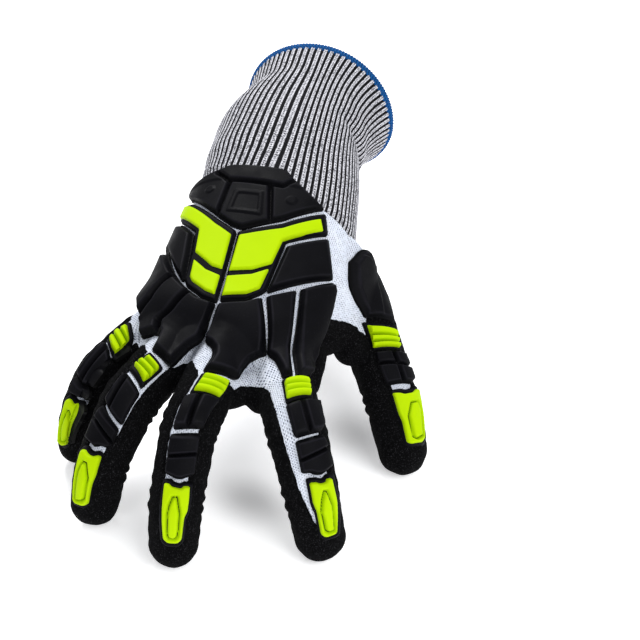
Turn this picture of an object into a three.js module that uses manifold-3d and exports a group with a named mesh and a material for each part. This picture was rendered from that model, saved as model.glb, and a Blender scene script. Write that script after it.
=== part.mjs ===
// A right-hand impact-resistant work glove, worn open with its fingertips set down:
// a knitted liner, a dipped palm coating, a ribbed cuff and moulded rubber back guards.
// Millimetres, +Z up. The origin is the middle of the wrist, where a hand holds the glove.
import * as THREE from 'three';
import { ConvexGeometry } from 'three/addons/geometries/ConvexGeometry.js';
import { mergeVertices } from 'three/addons/utils/BufferGeometryUtils.js';
import Module from 'manifold-3d';

const wasm = await Module();
wasm.setup();

// Walls, coats and clearances.
const KNIT_WALL = 1.5;
const RIB_HEIGHT = 0.9;
const RIB_COUNT = 72;
const CUFF_WALL = 2.3;
const COAT_WALL = 0.9;
const HEM_WIDTH = 3.2;
const GAP = 0.3;

// Moulded rubber: the skin that joins a guard's lobes, a plain guard, a bed and its inlay.
const WEB_SKIN = 1.3;
const GUARD = 4.2;
const FINGER_GUARD = 3.4;
const BED = 2.3;
const INLAY = 1.7;

// How the worn hand is turned: x points to the thumb, y up the forearm, z out of the back.
const HAND_YAW = -16.5;
const HAND_PITCH = 18.5;
const HAND_ROLL = 2.5;

const RING_SIDES = 10;
const rad = THREE.MathUtils.degToRad;

// The sleeve from the cuff's mouth to the finger webs. Each row is an oval across the arm: its
// middle (right, up), its reach to the little-finger side, thumb side, back and palm, how far its
// plane slants towards the thumb and leans towards the back, and how square it is.
const SLEEVE = [
  ['along', 'right', 'up', 'little', 'thumb', 'rise', 'drop', 'slant', 'lean', 'power'],
  [84, -6, -20, 40, 41, 34, 34, -0.08, 0.28, 2],
  [69, -4.5, -14, 41.5, 37, 32.5, 32.5, -0.05, 0.26, 2],
  [45, -2, -7, 43, 30.5, 30, 29, 0, 0.2, 2.1],
  [20, 0, -1.5, 41, 32, 28, 27, 0, 0.1, 2.1],
  [-12, 0, 0, 37, 36.5, 24.4, 24.6, -0.25, 0, 2.3],
  [-50, 0, 0, 37.5, 42, 20, 21, -0.04, 0, 2.5],
  [-72, 0, 0, 39, 41, 18, 17, -0.1, 0, 2.5],
  [-90, 0, 0, 41, 37, 16, 14, -0.16, 0, 2.4],
  [-99, 0, 0, 38, 34, 11, 10, -0.2, 0, 2.3],
].map((row, i, [names]) => Object.fromEntries(row.map((value, k) => [names[k], value]))).slice(1);
const SLEEVE_SIDES = 20;
const SEAM_ROW = 4;

// The level at which the knitted hand is parted into its back and its palm, and the place along it
// where the palm is parted again before the knuckles.
const SIDE_SEAM = -1;
const KNUCKLE_SEAM = -50;

// Each finger: its knuckle, the way it spreads and drops, the bends at its three joints with the
// side they bend in, the way its back faces, its bones and its width at each joint and the tip.
const FINGERS = {
  index: { knuckle: [23.5, -90, 0], splay: 29.5, drop: 0, lean: 0, facing: -17, bends: [-8, 39, 22],
    bones: [44, 26, 27], widths: [22.5, 20.5, 19, 17.6], root: 21 },
  middle: { knuckle: [3.5, -93, 2], splay: 2.2, drop: 0, lean: 0, facing: -8, bends: [-14, 45, 26],
    bones: [49, 30, 28], widths: [23, 21, 20, 18.6], root: 21 },
  ring: { knuckle: [-17.5, -87, 0], splay: -13.5, drop: 0, lean: 0, facing: -5, bends: [-8, 40, 27],
    bones: [46, 29, 27], widths: [21.5, 20, 19, 18], root: 20 },
  little: { knuckle: [-33.5, -79, -6], splay: -24, drop: 0, lean: 0, facing: 0, bends: [0, 45, 24],
    bones: [37, 21, 25], widths: [19, 17.5, 16.5, 15.5], root: 18 },
  thumb: { knuckle: [25, -14, -12], splay: 40, drop: 16, lean: -88, facing: 64, bends: [0, 7, 7],
    bones: [46, 36, 34.5], widths: [34, 25, 22, 19.4], root: 57 },
};
// Guards on the back of the hand, as outlines seen along z: x to the thumb side, y up the arm.
const HAND_GUARDS = {
  wrist_pad: { low: 0, outline: [[-40, -24], [-24, -10.5], [-20.5, -7.5], [5, -6.5], [9, -8],
    [27.5, -20], [7.5, -35.5], [-6, -42], [-14, -40.5], [-24, -34.5]] },
  thumb_side_panel: { low: 0, outline: [[18, -46.5], [33, -35.5], [39.5, -53], [16.6, -71.5]] },
  little_side_panel: { low: -8, outline: [[-52, -49.1], [-52, -25], [-45.4, -30.9], [-28.2, -45.3],
    [-26.1, -46.4], [-24.8, -58], [-22.9, -70.8], [-26.3, -71], [-39.7, -49.1]] },
  middle_knuckle_guard: { low: 5, outline: [[-2.4, -83.2], [14.8, -77], [22.3, -100], [16, -115.5],
    [3.3, -118.5], [3.6, -107], [-2.6, -102]] },
  index_inner_guard: { low: 0, outline: [[16.6, -74.2], [28, -66.2], [38.3, -108.5], [33.7, -110.3],
    [31, -104.4], [24.8, -99.6]] },
  index_outer_guard: { low: 4.6, outline: [[29.6, -65.2], [40.2, -54.6], [43, -60], [42.5, -77],
    [45, -104], [40, -108.2]] },
};

// The three-lobed guard that wraps the little-finger side of the hand, and its two grooves.
const OUTER_GUARD = {
  low: -8,
  outline: [[-54, -50], [-40.5, -50], [-27.4, -71.3], [-17, -80.6], [-3.8, -83.2], [-5.6, -101.6],
    [-11, -104], [-13.6, -114], [-22.5, -108.5], [-23.5, -100.5], [-31.5, -101.5], [-42.5, -86.5],
    [-54, -84]],
  grooves: [
    [[-26.6, -71.6], [-28, -70.6], [-43.2, -87], [-42, -88]],
    [[-17.6, -80.9], [-18.8, -79.6], [-27, -98.5], [-25.6, -98.8]],
  ],
  clear: { high: 6, outline: [[-34, -94], [-28, -70], [10, -70], [10, -130], [-34, -130]] },
};

// The V on the back of the hand: two black beds and the lime inlays set on them.
const CHEVRONS = {
  left: {
    bed: [[-39, -25.5], [-45, -30], [-27.5, -44.5], [-25, -45.5], [-23.6, -58], [-21.6, -70.5],
      [-12.5, -78.9], [-4.3, -80.8], [-5.7, -66.8], [-7.2, -45.4], [-14.8, -43.4], [-25, -36.4]],
    upper: [[-37.4, -26], [-41.5, -29], [-25.3, -43.9], [-23.6, -45.4], [-22.3, -57.4], [-14.2, -63.4],
      [-6.8, -65.9], [-8.3, -46.4], [-15.2, -44.6], [-24.9, -37.9]],
    lower: [[-22, -59.8], [-20.5, -69.8], [-12.1, -77.6], [-5.4, -79.4], [-6.6, -67.8], [-14, -65.2]],
  },
  right: {
    bed: [[-5.4, -44.7], [28.2, -23.9], [31.8, -33], [16.6, -45.3], [15.5, -57.7], [15.1, -60.8],
      [13.8, -73.2], [6.2, -78.2], [-2.6, -80.7], [-4, -66.5]],
    upper: [[-4.2, -45.3], [27.6, -25.6], [30.3, -32.6], [15.5, -44.7], [14.3, -57.3], [5.7, -63.7],
      [-2.7, -66]],
    lower: [[-2.6, -67.8], [6.2, -65.3], [13.4, -60.3], [14, -61], [12.8, -72.4], [5.8, -76.9],
      [-1.4, -79.3]],
  },
};

// Guards along each finger, as the stations they run between from the knuckle, and their width.
const FINGER_GUARDS = {
  index: { width: 12, flex: [27.5, 38], root: [38.8, 49.3], middle: [50.6, 60.8], tip: [62.3, 85.5] },
  middle: { width: 12.4, flex: [31.5, 42.5], root: [43.3, 54.8], middle: [56.1, 67.3], tip: [68.8, 92] },
  ring: { width: 11.6, flex: [29.5, 40], root: [40.8, 52], middle: [53.2, 64], tip: [65.5, 88.5] },
  little: { width: 9.6, flex: [20, 29.5], root: [30.3, 39.3], middle: [40.5, 46.5], tip: [47.8, 72.5] },
  thumb: { width: 16, flex: [53, 64.5], root: [65.3, 80], tip: [82.3, 108.5] },
};

// The guard on the thumb's root, seen along its back from a station 33 mm up the thumb.
const THUMB_GUARD = { at: 33, outline: [[1, -18], [-10.5, -10.5], [-15, -0.5], [-14, 15], [0, 19.5],
  [5, 19], [12, -4.5], [8.5, -17.5]] };

// Where the dipped coat stops: over the wrist, on the back of the hand and along each finger.
const COAT_WRIST = [[-70, -14], [-35, -14], [-31, 0], [-20, 11], [0, 15], [20, 9], [31, -6],
  [36, -24], [70, -24], [70, 150], [-70, 150]];
const COAT_BACK = [
  { low: -8.5, outline: [[-70, 20], [-70, -87], [-43.5, -89], [-34, -103], [-28, -103], [-28, -84],
    [48, -84], [52, -76], [66, -66], [75, 20]] },
  { low: 4, outline: [[-70, -83], [-46, -98], [-35, -106], [-22, -112], [-16, -117], [-6, -117],
    [8, -119], [18, -119], [28, -115], [36, -119], [47, -111], [48, -83]] },
];

const BEND_LENGTH = 16;

// The web between thumb and palm: three soft corners.
const WEB = [
  { at: [24, -18, -4], radius: 15 },
  { at: [30, -66, 0], radius: 12 },
  { at: [45, -50, -18], radius: 11 },
];

// A closed tube skinned over rings of points, with flat ends or a pointed far end.
function skin(rings) {
  const count = rings[0].length;
  const points = rings.flat();
  const start = points.push(middle(rings[0])) - 1;
  const end = points.push(rings.tip ?? middle(rings.at(-1))) - 1;
  const faces = [];
  for (let row = 0; row + 1 < rings.length; row += 1) {
    for (let i = 0; i < count; i += 1) {
      const a = row * count + i;
      const b = row * count + ((i + 1) % count);
      faces.push(a, b, b + count, a, b + count, a + count);
    }
  }
  const last = (rings.length - 1) * count;
  for (let i = 0; i < count; i += 1) {
    const next = (i + 1) % count;
    faces.push(start, next, i, end, last + i, last + next);
  }
  const geometry = new THREE.BufferGeometry().setFromPoints(points);
  geometry.setIndex(faces);
  return toSolid(geometry);
}

function middle(ring) {
  const sum = ring.reduce((total, p) => total.add(p), new THREE.Vector3());
  return sum.divideScalar(ring.length);
}

function toSolid(geometry) {
  const bare = geometry.index ? geometry.clone() : geometry;
  bare.deleteAttribute('normal');
  bare.deleteAttribute('uv');
  const merged = mergeVertices(bare, 1e-4);
  const vertProperties = new Float32Array(merged.attributes.position.array);
  let triVerts = new Uint32Array(merged.index.array);
  let solid = new wasm.Manifold(new wasm.Mesh({ numProp: 3, vertProperties, triVerts }));
  if (solid.volume() < 0) {
    triVerts = triVerts.reverse();
    solid = new wasm.Manifold(new wasm.Mesh({ numProp: 3, vertProperties, triVerts }));
  }
  return solid;
}

function toGeometry(solid) {
  const mesh = solid.getMesh();
  const geometry = new THREE.BufferGeometry();
  geometry.setAttribute('position', new THREE.BufferAttribute(mesh.vertProperties, 3));
  geometry.setIndex(new THREE.BufferAttribute(mesh.triVerts, 1));
  return geometry;
}

function ovalRing({ centre, side, up, reach, power, count = RING_SIDES }) {
  const ring = [];
  for (let i = 0; i < count; i += 1) {
    const angle = (2 * Math.PI * i) / count;
    const bow = (v) => Math.sign(v) * Math.abs(v) ** (2 / power);
    const across = bow(Math.cos(angle)) * (Math.cos(angle) > 0 ? reach.right : reach.left);
    const rise = bow(Math.sin(angle)) * (Math.sin(angle) > 0 ? reach.up : reach.down);
    ring.push(centre.clone().addScaledVector(side, across).addScaledVector(up, rise));
  }
  return ring;
}

const X = new THREE.Vector3(1, 0, 0);
const Z = new THREE.Vector3(0, 0, 1);

function sleeveRing(row, grow, count = SLEEVE_SIDES) {
  const reach = {
    left: row.little + grow,
    right: row.thumb + grow,
    up: row.rise + grow,
    down: row.drop + grow,
  };
  const centre = new THREE.Vector3(row.right, row.along, row.up);
  const ring = ovalRing({ centre, side: X, up: Z, reach, power: row.power, count });
  ring.forEach((p) => { p.y += row.slant * (p.x - row.right) + row.lean * (p.z - row.up); });
  return ring;
}

// The sleeve down to one of its rows, its ends pushed out past them by the overrun.
function sleeveBody(grow, { last = SLEEVE.length - 1, overrun = grow } = {}) {
  const rows = SLEEVE.slice(0, last + 1);
  return skin(rows.map((row, i) => {
    const stretch = i === 0 ? overrun : i === rows.length - 1 ? -overrun : 0;
    return sleeveRing({ ...row, along: row.along + stretch }, grow);
  }));
}

function webBody(grow) {
  const points = WEB.flatMap(({ at, radius }) => {
    const ball = new THREE.IcosahedronGeometry(radius + grow, 1);
    ball.translate(...at);
    const spots = ball.attributes.position;
    return Array.from({ length: spots.count }, (_, i) => new THREE.Vector3().fromBufferAttribute(spots, i));
  });
  return toSolid(new ConvexGeometry(points));
}

// The middle line of a finger, with its side, back and forward directions at a given length.
function fingerFrame(finger, length) {
  const { knuckle, splay, drop, lean, facing, bends, bones } = finger;
  const turn = rad(splay);
  const forward = new THREE.Vector3(Math.sin(turn), -Math.cos(turn), 0);
  const side = new THREE.Vector3(Math.cos(turn), Math.sin(turn), 0);
  const back = Z.clone();
  forward.applyAxisAngle(side, rad(drop));
  back.applyAxisAngle(side, rad(drop));
  side.applyAxisAngle(forward, rad(lean));
  back.applyAxisAngle(forward, rad(lean));
  const joints = [0, bones[0], bones[0] + bones[1]];
  const bendAt = (s) => joints.reduce((sum, at, i) => {
    const share = THREE.MathUtils.smoothstep(s, at - BEND_LENGTH / 2, at + BEND_LENGTH / 2);
    return sum + rad(bends[i]) * share;
  }, 0);
  const place = new THREE.Vector3(...knuckle);
  const steps = Math.max(1, Math.ceil(Math.abs(length)));
  const step = length / steps;
  for (let i = 0; i < steps; i += 1) {
    const bend = bendAt((i + 0.5) * step);
    place.addScaledVector(forward, Math.cos(bend) * step).addScaledVector(back, -Math.sin(bend) * step);
  }
  const bend = bendAt(length);
  const along = forward.clone().multiplyScalar(Math.cos(bend)).addScaledVector(back, -Math.sin(bend));
  const out = back.clone().multiplyScalar(Math.cos(bend)).addScaledVector(forward, Math.sin(bend));
  side.applyAxisAngle(along, rad(facing));
  out.applyAxisAngle(along, rad(facing));
  return { place, side, along, back: out };
}

function fingerRadius({ bones, widths }, s) {
  const knots = [0, bones[0], bones[0] + bones[1], bones[0] + bones[1] + bones[2]];
  const i = s < knots[1] ? 0 : s < knots[2] ? 1 : 2;
  const share = THREE.MathUtils.clamp((s - knots[i]) / (knots[i + 1] - knots[i]), 0, 1);
  return THREE.MathUtils.lerp(widths[i], widths[i + 1], share) / 2;
}

function fingerRing(finger, s, radius) {
  const { place, side, back } = fingerFrame(finger, s);
  const reach = { left: radius, right: radius, up: radius, down: radius };
  return ovalRing({ centre: place, side, up: back, reach, power: 2, count: RING_SIDES });
}

// A finger from one station to another, or to its domed tip.
function fingerBody(finger, grow, { from = -16, to = Infinity } = {}) {
  const { bones, widths, root } = finger;
  const total = bones[0] + bones[1] + bones[2];
  const second = bones[0] + bones[1];
  const dome = widths[3] / 2;
  const bends = [bones[0] - 6, bones[0] + 6, second - 6, second + 6];
  const stations = [from, root, ...bends, total - dome, to];
  const kept = [...new Set(stations)].filter((s) => s >= from && s <= Math.min(to, total - dome));
  kept.sort((p, q) => p - q);
  const rings = kept.map((s) => fingerRing(finger, s, fingerRadius(finger, s) + grow));
  if (to > total) {
    for (const turn of [rad(32), rad(64)]) {
      const reach = (dome + grow) * Math.cos(turn);
      rings.push(fingerRing(finger, total - dome + (dome + grow) * Math.sin(turn), reach));
    }
    const end = fingerFrame(finger, total - dome);
    rings.tip = end.place.addScaledVector(end.along, dome + grow);
  }
  return skin(rings);
}

function handBody(grow, { fingerEnd = () => Infinity } = {}) {
  let body = sleeveBody(grow).add(webBody(grow));
  for (const finger of Object.values(FINGERS)) {
    body = body.add(fingerBody(finger, grow, { to: fingerEnd(finger) }));
  }
  return body;
}

// A prism over a flat outline, along z from one level to another.
function prism(outline, low, high) {
  const shape = new THREE.Shape(outline.map(([x, y]) => new THREE.Vector2(x, y)));
  const geometry = new THREE.ExtrudeGeometry(shape, { depth: high - low, bevelEnabled: false });
  return geometry.translate(0, 0, low);
}

// The same prism standing on a finger's back, u to the thumb side and v to the tip from a station.
function fingerPrism(finger, at, outline, low = 1, high = 24) {
  const { place, side, along, back } = fingerFrame(finger, at);
  const frame = new THREE.Matrix4().makeBasis(side, along, back).setPosition(place);
  return toSolid(prism(outline, low, high).applyMatrix4(frame));
}

// A plate wrapped on a finger's back. Each row is a station with a half width and the heights of
// the top across it; the underside follows the finger at one height.
function wrappedPlate(finger, base, rows) {
  const columns = rows[0].tops.length;
  const points = [];
  for (const { at, half, tops } of rows) {
    const { place, side, back } = fingerFrame(finger, at);
    const radius = fingerRadius(finger, at);
    const spot = (i, height) => {
      const angle = (half * ((2 * i) / (columns - 1) - 1)) / radius;
      return place.clone()
        .addScaledVector(side, Math.sin(angle) * (radius + height))
        .addScaledVector(back, Math.cos(angle) * (radius + height));
    };
    tops.forEach((top, i) => points.push(spot(i, top)));
    tops.forEach((top, i) => points.push(spot(i, base)));
  }
  const faces = [];
  const quad = (a, b, c, d) => faces.push(a, b, c, a, c, d);
  const id = (row, side, i) => (row * 2 + side) * columns + i;
  for (let row = 0; row + 1 < rows.length; row += 1) {
    for (let i = 0; i + 1 < columns; i += 1) {
      quad(id(row, 0, i), id(row, 0, i + 1), id(row + 1, 0, i + 1), id(row + 1, 0, i));
      quad(id(row, 1, i), id(row + 1, 1, i), id(row + 1, 1, i + 1), id(row, 1, i + 1));
    }
    quad(id(row, 0, 0), id(row + 1, 0, 0), id(row + 1, 1, 0), id(row, 1, 0));
    const end = columns - 1;
    quad(id(row, 0, end), id(row, 1, end), id(row + 1, 1, end), id(row + 1, 0, end));
  }
  const last = rows.length - 1;
  for (let i = 0; i + 1 < columns; i += 1) {
    quad(id(0, 0, i), id(0, 1, i), id(0, 1, i + 1), id(0, 0, i + 1));
    quad(id(last, 0, i), id(last, 0, i + 1), id(last, 1, i + 1), id(last, 1, i));
  }
  const geometry = new THREE.BufferGeometry().setFromPoints(points);
  geometry.setIndex(faces);
  return toSolid(geometry);
}

function makeCuff() {
  const ribs = SLEEVE.slice(0, SEAM_ROW + 1).map((row, i) => {
    const along = row.along + (i === SEAM_ROW ? GAP : 0);
    return sleeveRing({ ...row, along }, -GAP, RIB_COUNT * 2).map((p, spot) => {
      const inward = new THREE.Vector3(row.right, p.y, row.up).sub(p).normalize();
      return spot % 2 ? p.clone().addScaledVector(inward, RIB_HEIGHT) : p;
    });
  });
  return skin(ribs).subtract(sleeveBody(-CUFF_WALL, { last: SEAM_ROW, overrun: 6 }));
}

function makeHem() {
  const mouth = SLEEVE[0];
  const band = (offsets) => skin(offsets.map(([rise, grow]) => (
    sleeveRing({ ...mouth, along: mouth.along + rise }, grow)
  )));
  const outside = band([[GAP, 0.1], [HEM_WIDTH / 2, 0.8], [HEM_WIDTH, 0.1]]);
  const inside = band([[-5, -CUFF_WALL], [HEM_WIDTH + 5, -CUFF_WALL]]);
  return outside.subtract(inside);
}

// The knitted hand, open at the wrist and at each finger's root.
function makeHandLiner() {
  const outer = handBody(0, { fingerEnd: (finger) => finger.root });
  const inner = handBody(-KNIT_WALL, { fingerEnd: (finger) => finger.root + 6 });
  const seam = SLEEVE[SEAM_ROW];
  const edge = (x) => seam.along + seam.slant * x - GAP / 3;
  const armSide = prism([[-90, edge(-90)], [90, edge(90)], [90, 200], [-90, 200]], -120, 120);
  return outer.subtract(inner).subtract(toSolid(armSide));
}

// The part of a solid that lies between two levels, and between two places along the hand.
function between(solid, low, high, far = -200, near = 200) {
  const square = [[-120, far], [120, far], [120, near], [-120, near]];
  return solid.intersect(toSolid(prism(square, low, high)));
}

function makeStall(finger) {
  const outer = fingerBody(finger, 0, { from: finger.root + GAP });
  const inner = fingerBody(finger, -KNIT_WALL, { from: finger.root - 6 });
  return outer.subtract(inner);
}

// The layer between two offsets of the hand, cut by a prism.
function layer(cutter, low, high) {
  return handBody(high).subtract(handBody(low)).intersect(cutter);
}

function handPlate(outline, reach, low, high) {
  return layer(toSolid(prism(outline, reach, 60)), low, high);
}

function makeOuterGuard() {
  let guard = handPlate(OUTER_GUARD.outline, OUTER_GUARD.low, GAP, GAP + GUARD);
  const { clear } = OUTER_GUARD;
  guard = guard.subtract(toSolid(prism(clear.outline, -60, clear.high)));
  const floor = handBody(GAP + WEB_SKIN);
  for (const groove of OUTER_GUARD.grooves) {
    guard = guard.subtract(toSolid(prism(groove, -30, 60)).subtract(floor));
  }
  return guard;
}

// A guard over a finger bone: two lobes parted along the finger, or across it.
function lobedGuard(finger, [from, to], width, across) {
  const high = GAP + FINGER_GUARD;
  const low = GAP + WEB_SKIN;
  const half = width / 2;
  const middleAt = (from + to) / 2;
  if (across) {
    const ridge = [high - 1, high, high, high - 1];
    const groove = [low, low, low, low];
    return wrappedPlate(finger, GAP, [
      { at: from, half, tops: ridge },
      { at: middleAt - 0.8, half, tops: ridge },
      { at: middleAt, half, tops: groove },
      { at: middleAt + 0.8, half, tops: ridge },
      { at: to, half, tops: ridge },
    ]);
  }
  const ridges = [high - 1.2, high, high, low, high, high, high - 1.2];
  return wrappedPlate(finger, GAP, [from, middleAt, to].map((at) => ({ at, half, tops: ridges })));
}

function flexBase(finger, [from, to], width) {
  const top = GAP + WEB_SKIN;
  const tops = [top, top, top, top];
  return wrappedPlate(finger, GAP, [from, (from + to) / 2, to].map((at) => ({ at, half: width / 2, tops })));
}

// The three lime ribs over a knuckle, rising from one thin skin.
function flexRibs(finger, [from, to], width) {
  const base = GAP + WEB_SKIN + GAP;
  const pitch = (to - from - 1.6) / 3;
  const rows = [];
  for (let i = 0; i <= 3; i += 1) {
    const at = from + 0.8 + i * pitch;
    const half = width / 2 - 0.8;
    const valley = Array(4).fill(base + 0.7);
    const crest = [base + 1.8, base + 2.4, base + 2.4, base + 1.8];
    rows.push({ at, half, tops: valley });
    if (i < 3) {
      rows.push({ at: at + pitch / 2, half, tops: crest });
    }
  }
  return wrappedPlate(finger, base, rows);
}

// A fingertip bed narrows to the tip; its cap carries a raised lozenge.
const TIP_SHAPE = [
  { share: 0, width: 0.9, lozenge: 0 },
  { share: 0.14, width: 1, lozenge: 0 },
  { share: 0.3, width: 1, lozenge: 0.6 },
  { share: 0.75, width: 0.84, lozenge: 0.6 },
  { share: 0.88, width: 0.76, lozenge: 0 },
  { share: 1, width: 0.5, lozenge: 0 },
];

function tipPlate(finger, [from, to], width, { inset, base, top, raised }) {
  const start = from + inset;
  const length = to - from - 2 * inset;
  return wrappedPlate(finger, base, TIP_SHAPE.map((row) => {
    const hump = top + raised * row.lozenge;
    return {
      at: start + row.share * length,
      half: (width / 2) * row.width - inset,
      tops: raised ? [top - 0.5, top, hump, top, top - 0.5] : [top, top, top, top],
    };
  }));
}

// The strip along a finger's back that the coat leaves open for the guards.
function fingerWindow(finger, { width, tip }) {
  const { bones, root } = finger;
  const second = bones[0] + bones[1];
  const stations = [root - 10, bones[0] - 6, bones[0] + 6, second - 6, second + 6, tip[1] + 0.8];
  const half = width / 2 + 0.6;
  return wrappedPlate(finger, -1, stations.map((at) => ({ at, half, tops: [5, 5, 5, 5] })));
}

function makeCoat() {
  let skinCoat = handBody(GAP + COAT_WALL).subtract(handBody(GAP));
  skinCoat = skinCoat.subtract(toSolid(prism(COAT_WRIST, -120, 120)));
  for (const { low, outline } of COAT_BACK) {
    skinCoat = skinCoat.subtract(toSolid(prism(outline, low, 90)));
  }
  for (const [name, finger] of Object.entries(FINGERS)) {
    skinCoat = skinCoat.subtract(fingerWindow(finger, FINGER_GUARDS[name]));
  }
  const thumbBack = [[-30, -40], [-24, 10], [-8.4, 22], [8.4, 22], [14, -4], [14, -40]];
  return skinCoat.subtract(fingerPrism(FINGERS.thumb, THUMB_GUARD.at, thumbBack, 3, 60));
}

// The tab under the mouth: a fan wrapped on the cuff, a neck and a teardrop to pull on.
const TAB = { right: -6, fan: 37, neck: 13, depth: 17, pull: 17, reach: 26, thick: 2.4, slope: 26 };

function makeTab() {
  const mouth = SLEEVE[0];
  const edge = mouth.along - mouth.lean * mouth.drop;
  const half = [
    [TAB.neck / 2, 6],
    [TAB.neck / 2, -2],
    [TAB.fan / 2, -TAB.depth * 0.45],
    [TAB.fan * 0.3, -TAB.depth],
  ];
  const fan = [...half, ...half.map(([x, y]) => [-x, y]).reverse()];
  const placed = fan.map(([x, y]) => [TAB.right + x, edge + y]);
  const lift = 1.2;
  const longer = [{ ...mouth, along: mouth.along + 8 }, ...SLEEVE.slice(0, 5)];
  const sheet = (grow) => skin(longer.map((row) => sleeveRing(row, grow)));
  const wrap = sheet(lift + TAB.thick).subtract(sheet(lift));
  const patch = wrap.intersect(toSolid(prism(placed, -110, mouth.up)));
  const drop = new THREE.Shape();
  drop.moveTo(-TAB.neck / 2, 0);
  drop.lineTo(TAB.neck / 2, 0);
  drop.lineTo(TAB.pull / 2, TAB.reach * 0.55);
  drop.lineTo(TAB.pull * 0.3, TAB.reach);
  drop.lineTo(-TAB.pull * 0.3, TAB.reach);
  drop.lineTo(-TAB.pull / 2, TAB.reach * 0.55);
  const pull = new THREE.ExtrudeGeometry(drop, { depth: TAB.thick + 0.8, bevelEnabled: false });
  pull.translate(0, 0, -TAB.thick - 0.4);
  pull.rotateX(rad(-TAB.slope));
  pull.translate(TAB.right, edge + 3, mouth.up - mouth.drop - lift - 1);
  return patch.add(toSolid(pull));
}

const hand = new THREE.Group();
hand.rotation.set(rad(HAND_PITCH), rad(HAND_ROLL), rad(HAND_YAW), 'ZXY');

function addPart(name, solid, material) {
  const mesh = new THREE.Mesh(toGeometry(solid), material);
  mesh.name = name;
  hand.add(mesh);
}

const knit = new THREE.MeshStandardMaterial({ color: 0xdde2ec, roughness: 0.9 });
const ribKnit = new THREE.MeshStandardMaterial({ color: 0x9a9ca2, roughness: 0.9 });
const blueYarn = new THREE.MeshStandardMaterial({ color: 0x0a5c9c, roughness: 0.85 });
const coat = new THREE.MeshStandardMaterial({ color: 0x141415, roughness: 0.75 });
const rubber = new THREE.MeshStandardMaterial({ color: 0x17191c, roughness: 0.55 });
const lime = new THREE.MeshStandardMaterial({ color: 0xc6f01c, roughness: 0.5 });

const handLiner = makeHandLiner();
addPart('hand_back_liner', between(handLiner, SIDE_SEAM + GAP / 2, 120), knit);
const palmTop = SIDE_SEAM - GAP / 2;
addPart('hand_palm_liner', between(handLiner, -120, palmTop, KNUCKLE_SEAM + GAP / 2), knit);
addPart('knuckle_palm_liner', between(handLiner, -120, palmTop, -200, KNUCKLE_SEAM - GAP / 2), knit);
for (const [name, finger] of Object.entries(FINGERS)) {
  addPart(`${name}_stall`, makeStall(finger), knit);
}
addPart('rib_cuff', makeCuff(), ribKnit);
addPart('cuff_hem', makeHem(), blueYarn);
addPart('pull_tab', makeTab(), rubber);
addPart('palm_coating', makeCoat(), coat);

for (const [name, { low, outline }] of Object.entries(HAND_GUARDS)) {
  addPart(name, handPlate(outline, low, GAP, GAP + GUARD), rubber);
}
addPart('outer_knuckle_guard', makeOuterGuard(), rubber);
for (const [side, { bed, upper, lower }] of Object.entries(CHEVRONS)) {
  const top = GAP + BED + GAP;
  addPart(`${side}_chevron_base`, handPlate(bed, -6, GAP, GAP + BED), rubber);
  addPart(`${side}_chevron_upper`, handPlate(upper, -5, top, top + INLAY), lime);
  addPart(`${side}_chevron_lower`, handPlate(lower, 0, top, top + INLAY), lime);
}
for (const [name, guards] of Object.entries(FINGER_GUARDS)) {
  const finger = FINGERS[name];
  const { width, flex, root, middle: joint, tip } = guards;
  const bed = GAP + BED;
  addPart(`${name}_flex_base`, flexBase(finger, flex, width), rubber);
  addPart(`${name}_flex_ribs`, flexRibs(finger, flex, width), lime);
  addPart(`${name}_root_pad`, lobedGuard(finger, root, width, false), rubber);
  if (joint) {
    addPart(`${name}_middle_pad`, lobedGuard(finger, joint, width, true), rubber);
  }
  const base = { inset: 0, base: GAP + 0.2, top: bed, raised: 0 };
  addPart(`${name}_tip_base`, tipPlate(finger, tip, width, base), rubber);
  const cap = { inset: 0.9, base: bed + GAP, top: bed + GAP + INLAY, raised: 1 };
  addPart(`${name}_tip_cap`, tipPlate(finger, tip, width, cap), lime);
}
const thumbGuard = fingerPrism(FINGERS.thumb, THUMB_GUARD.at, THUMB_GUARD.outline, 3, 40);
addPart('thumb_back_guard', layer(thumbGuard, GAP, GAP + GUARD), rubber);

const glove = new THREE.Group();
glove.add(hand);
export default glove;
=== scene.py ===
"""A right-hand impact-resistant work glove, worn open with its fingertips set down.

Lengths are in millimetres in the hand's own frame, x to the thumb side, y up the forearm and z out
of the back, until finished() turns a piece into the row frame in metres.
"""

import math

import bmesh
import bpy
import numpy as np
from mathutils import Matrix, Quaternion, Vector, noise
from mathutils.bvhtree import BVHTree


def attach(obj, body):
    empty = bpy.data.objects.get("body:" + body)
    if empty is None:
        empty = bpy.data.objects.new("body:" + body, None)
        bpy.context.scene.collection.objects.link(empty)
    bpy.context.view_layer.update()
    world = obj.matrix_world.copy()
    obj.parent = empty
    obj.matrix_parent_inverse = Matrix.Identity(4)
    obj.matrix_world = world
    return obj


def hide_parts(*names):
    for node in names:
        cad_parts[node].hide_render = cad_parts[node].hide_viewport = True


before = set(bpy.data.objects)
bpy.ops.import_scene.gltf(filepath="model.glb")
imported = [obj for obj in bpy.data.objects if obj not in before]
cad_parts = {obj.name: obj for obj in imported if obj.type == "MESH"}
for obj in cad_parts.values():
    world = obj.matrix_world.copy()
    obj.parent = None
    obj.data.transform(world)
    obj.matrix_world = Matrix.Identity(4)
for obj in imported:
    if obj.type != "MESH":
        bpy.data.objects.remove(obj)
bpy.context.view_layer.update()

# How the worn hand is turned in the row frame.
HAND_YAW = -16.5
HAND_PITCH = 18.5
HAND_ROLL = 2.5
HAND = (
    Matrix.Rotation(math.radians(HAND_YAW), 3, "Z")
    @ Matrix.Rotation(math.radians(HAND_PITCH), 3, "X")
    @ Matrix.Rotation(math.radians(HAND_ROLL), 3, "Y")
)
MM = 0.001

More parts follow.
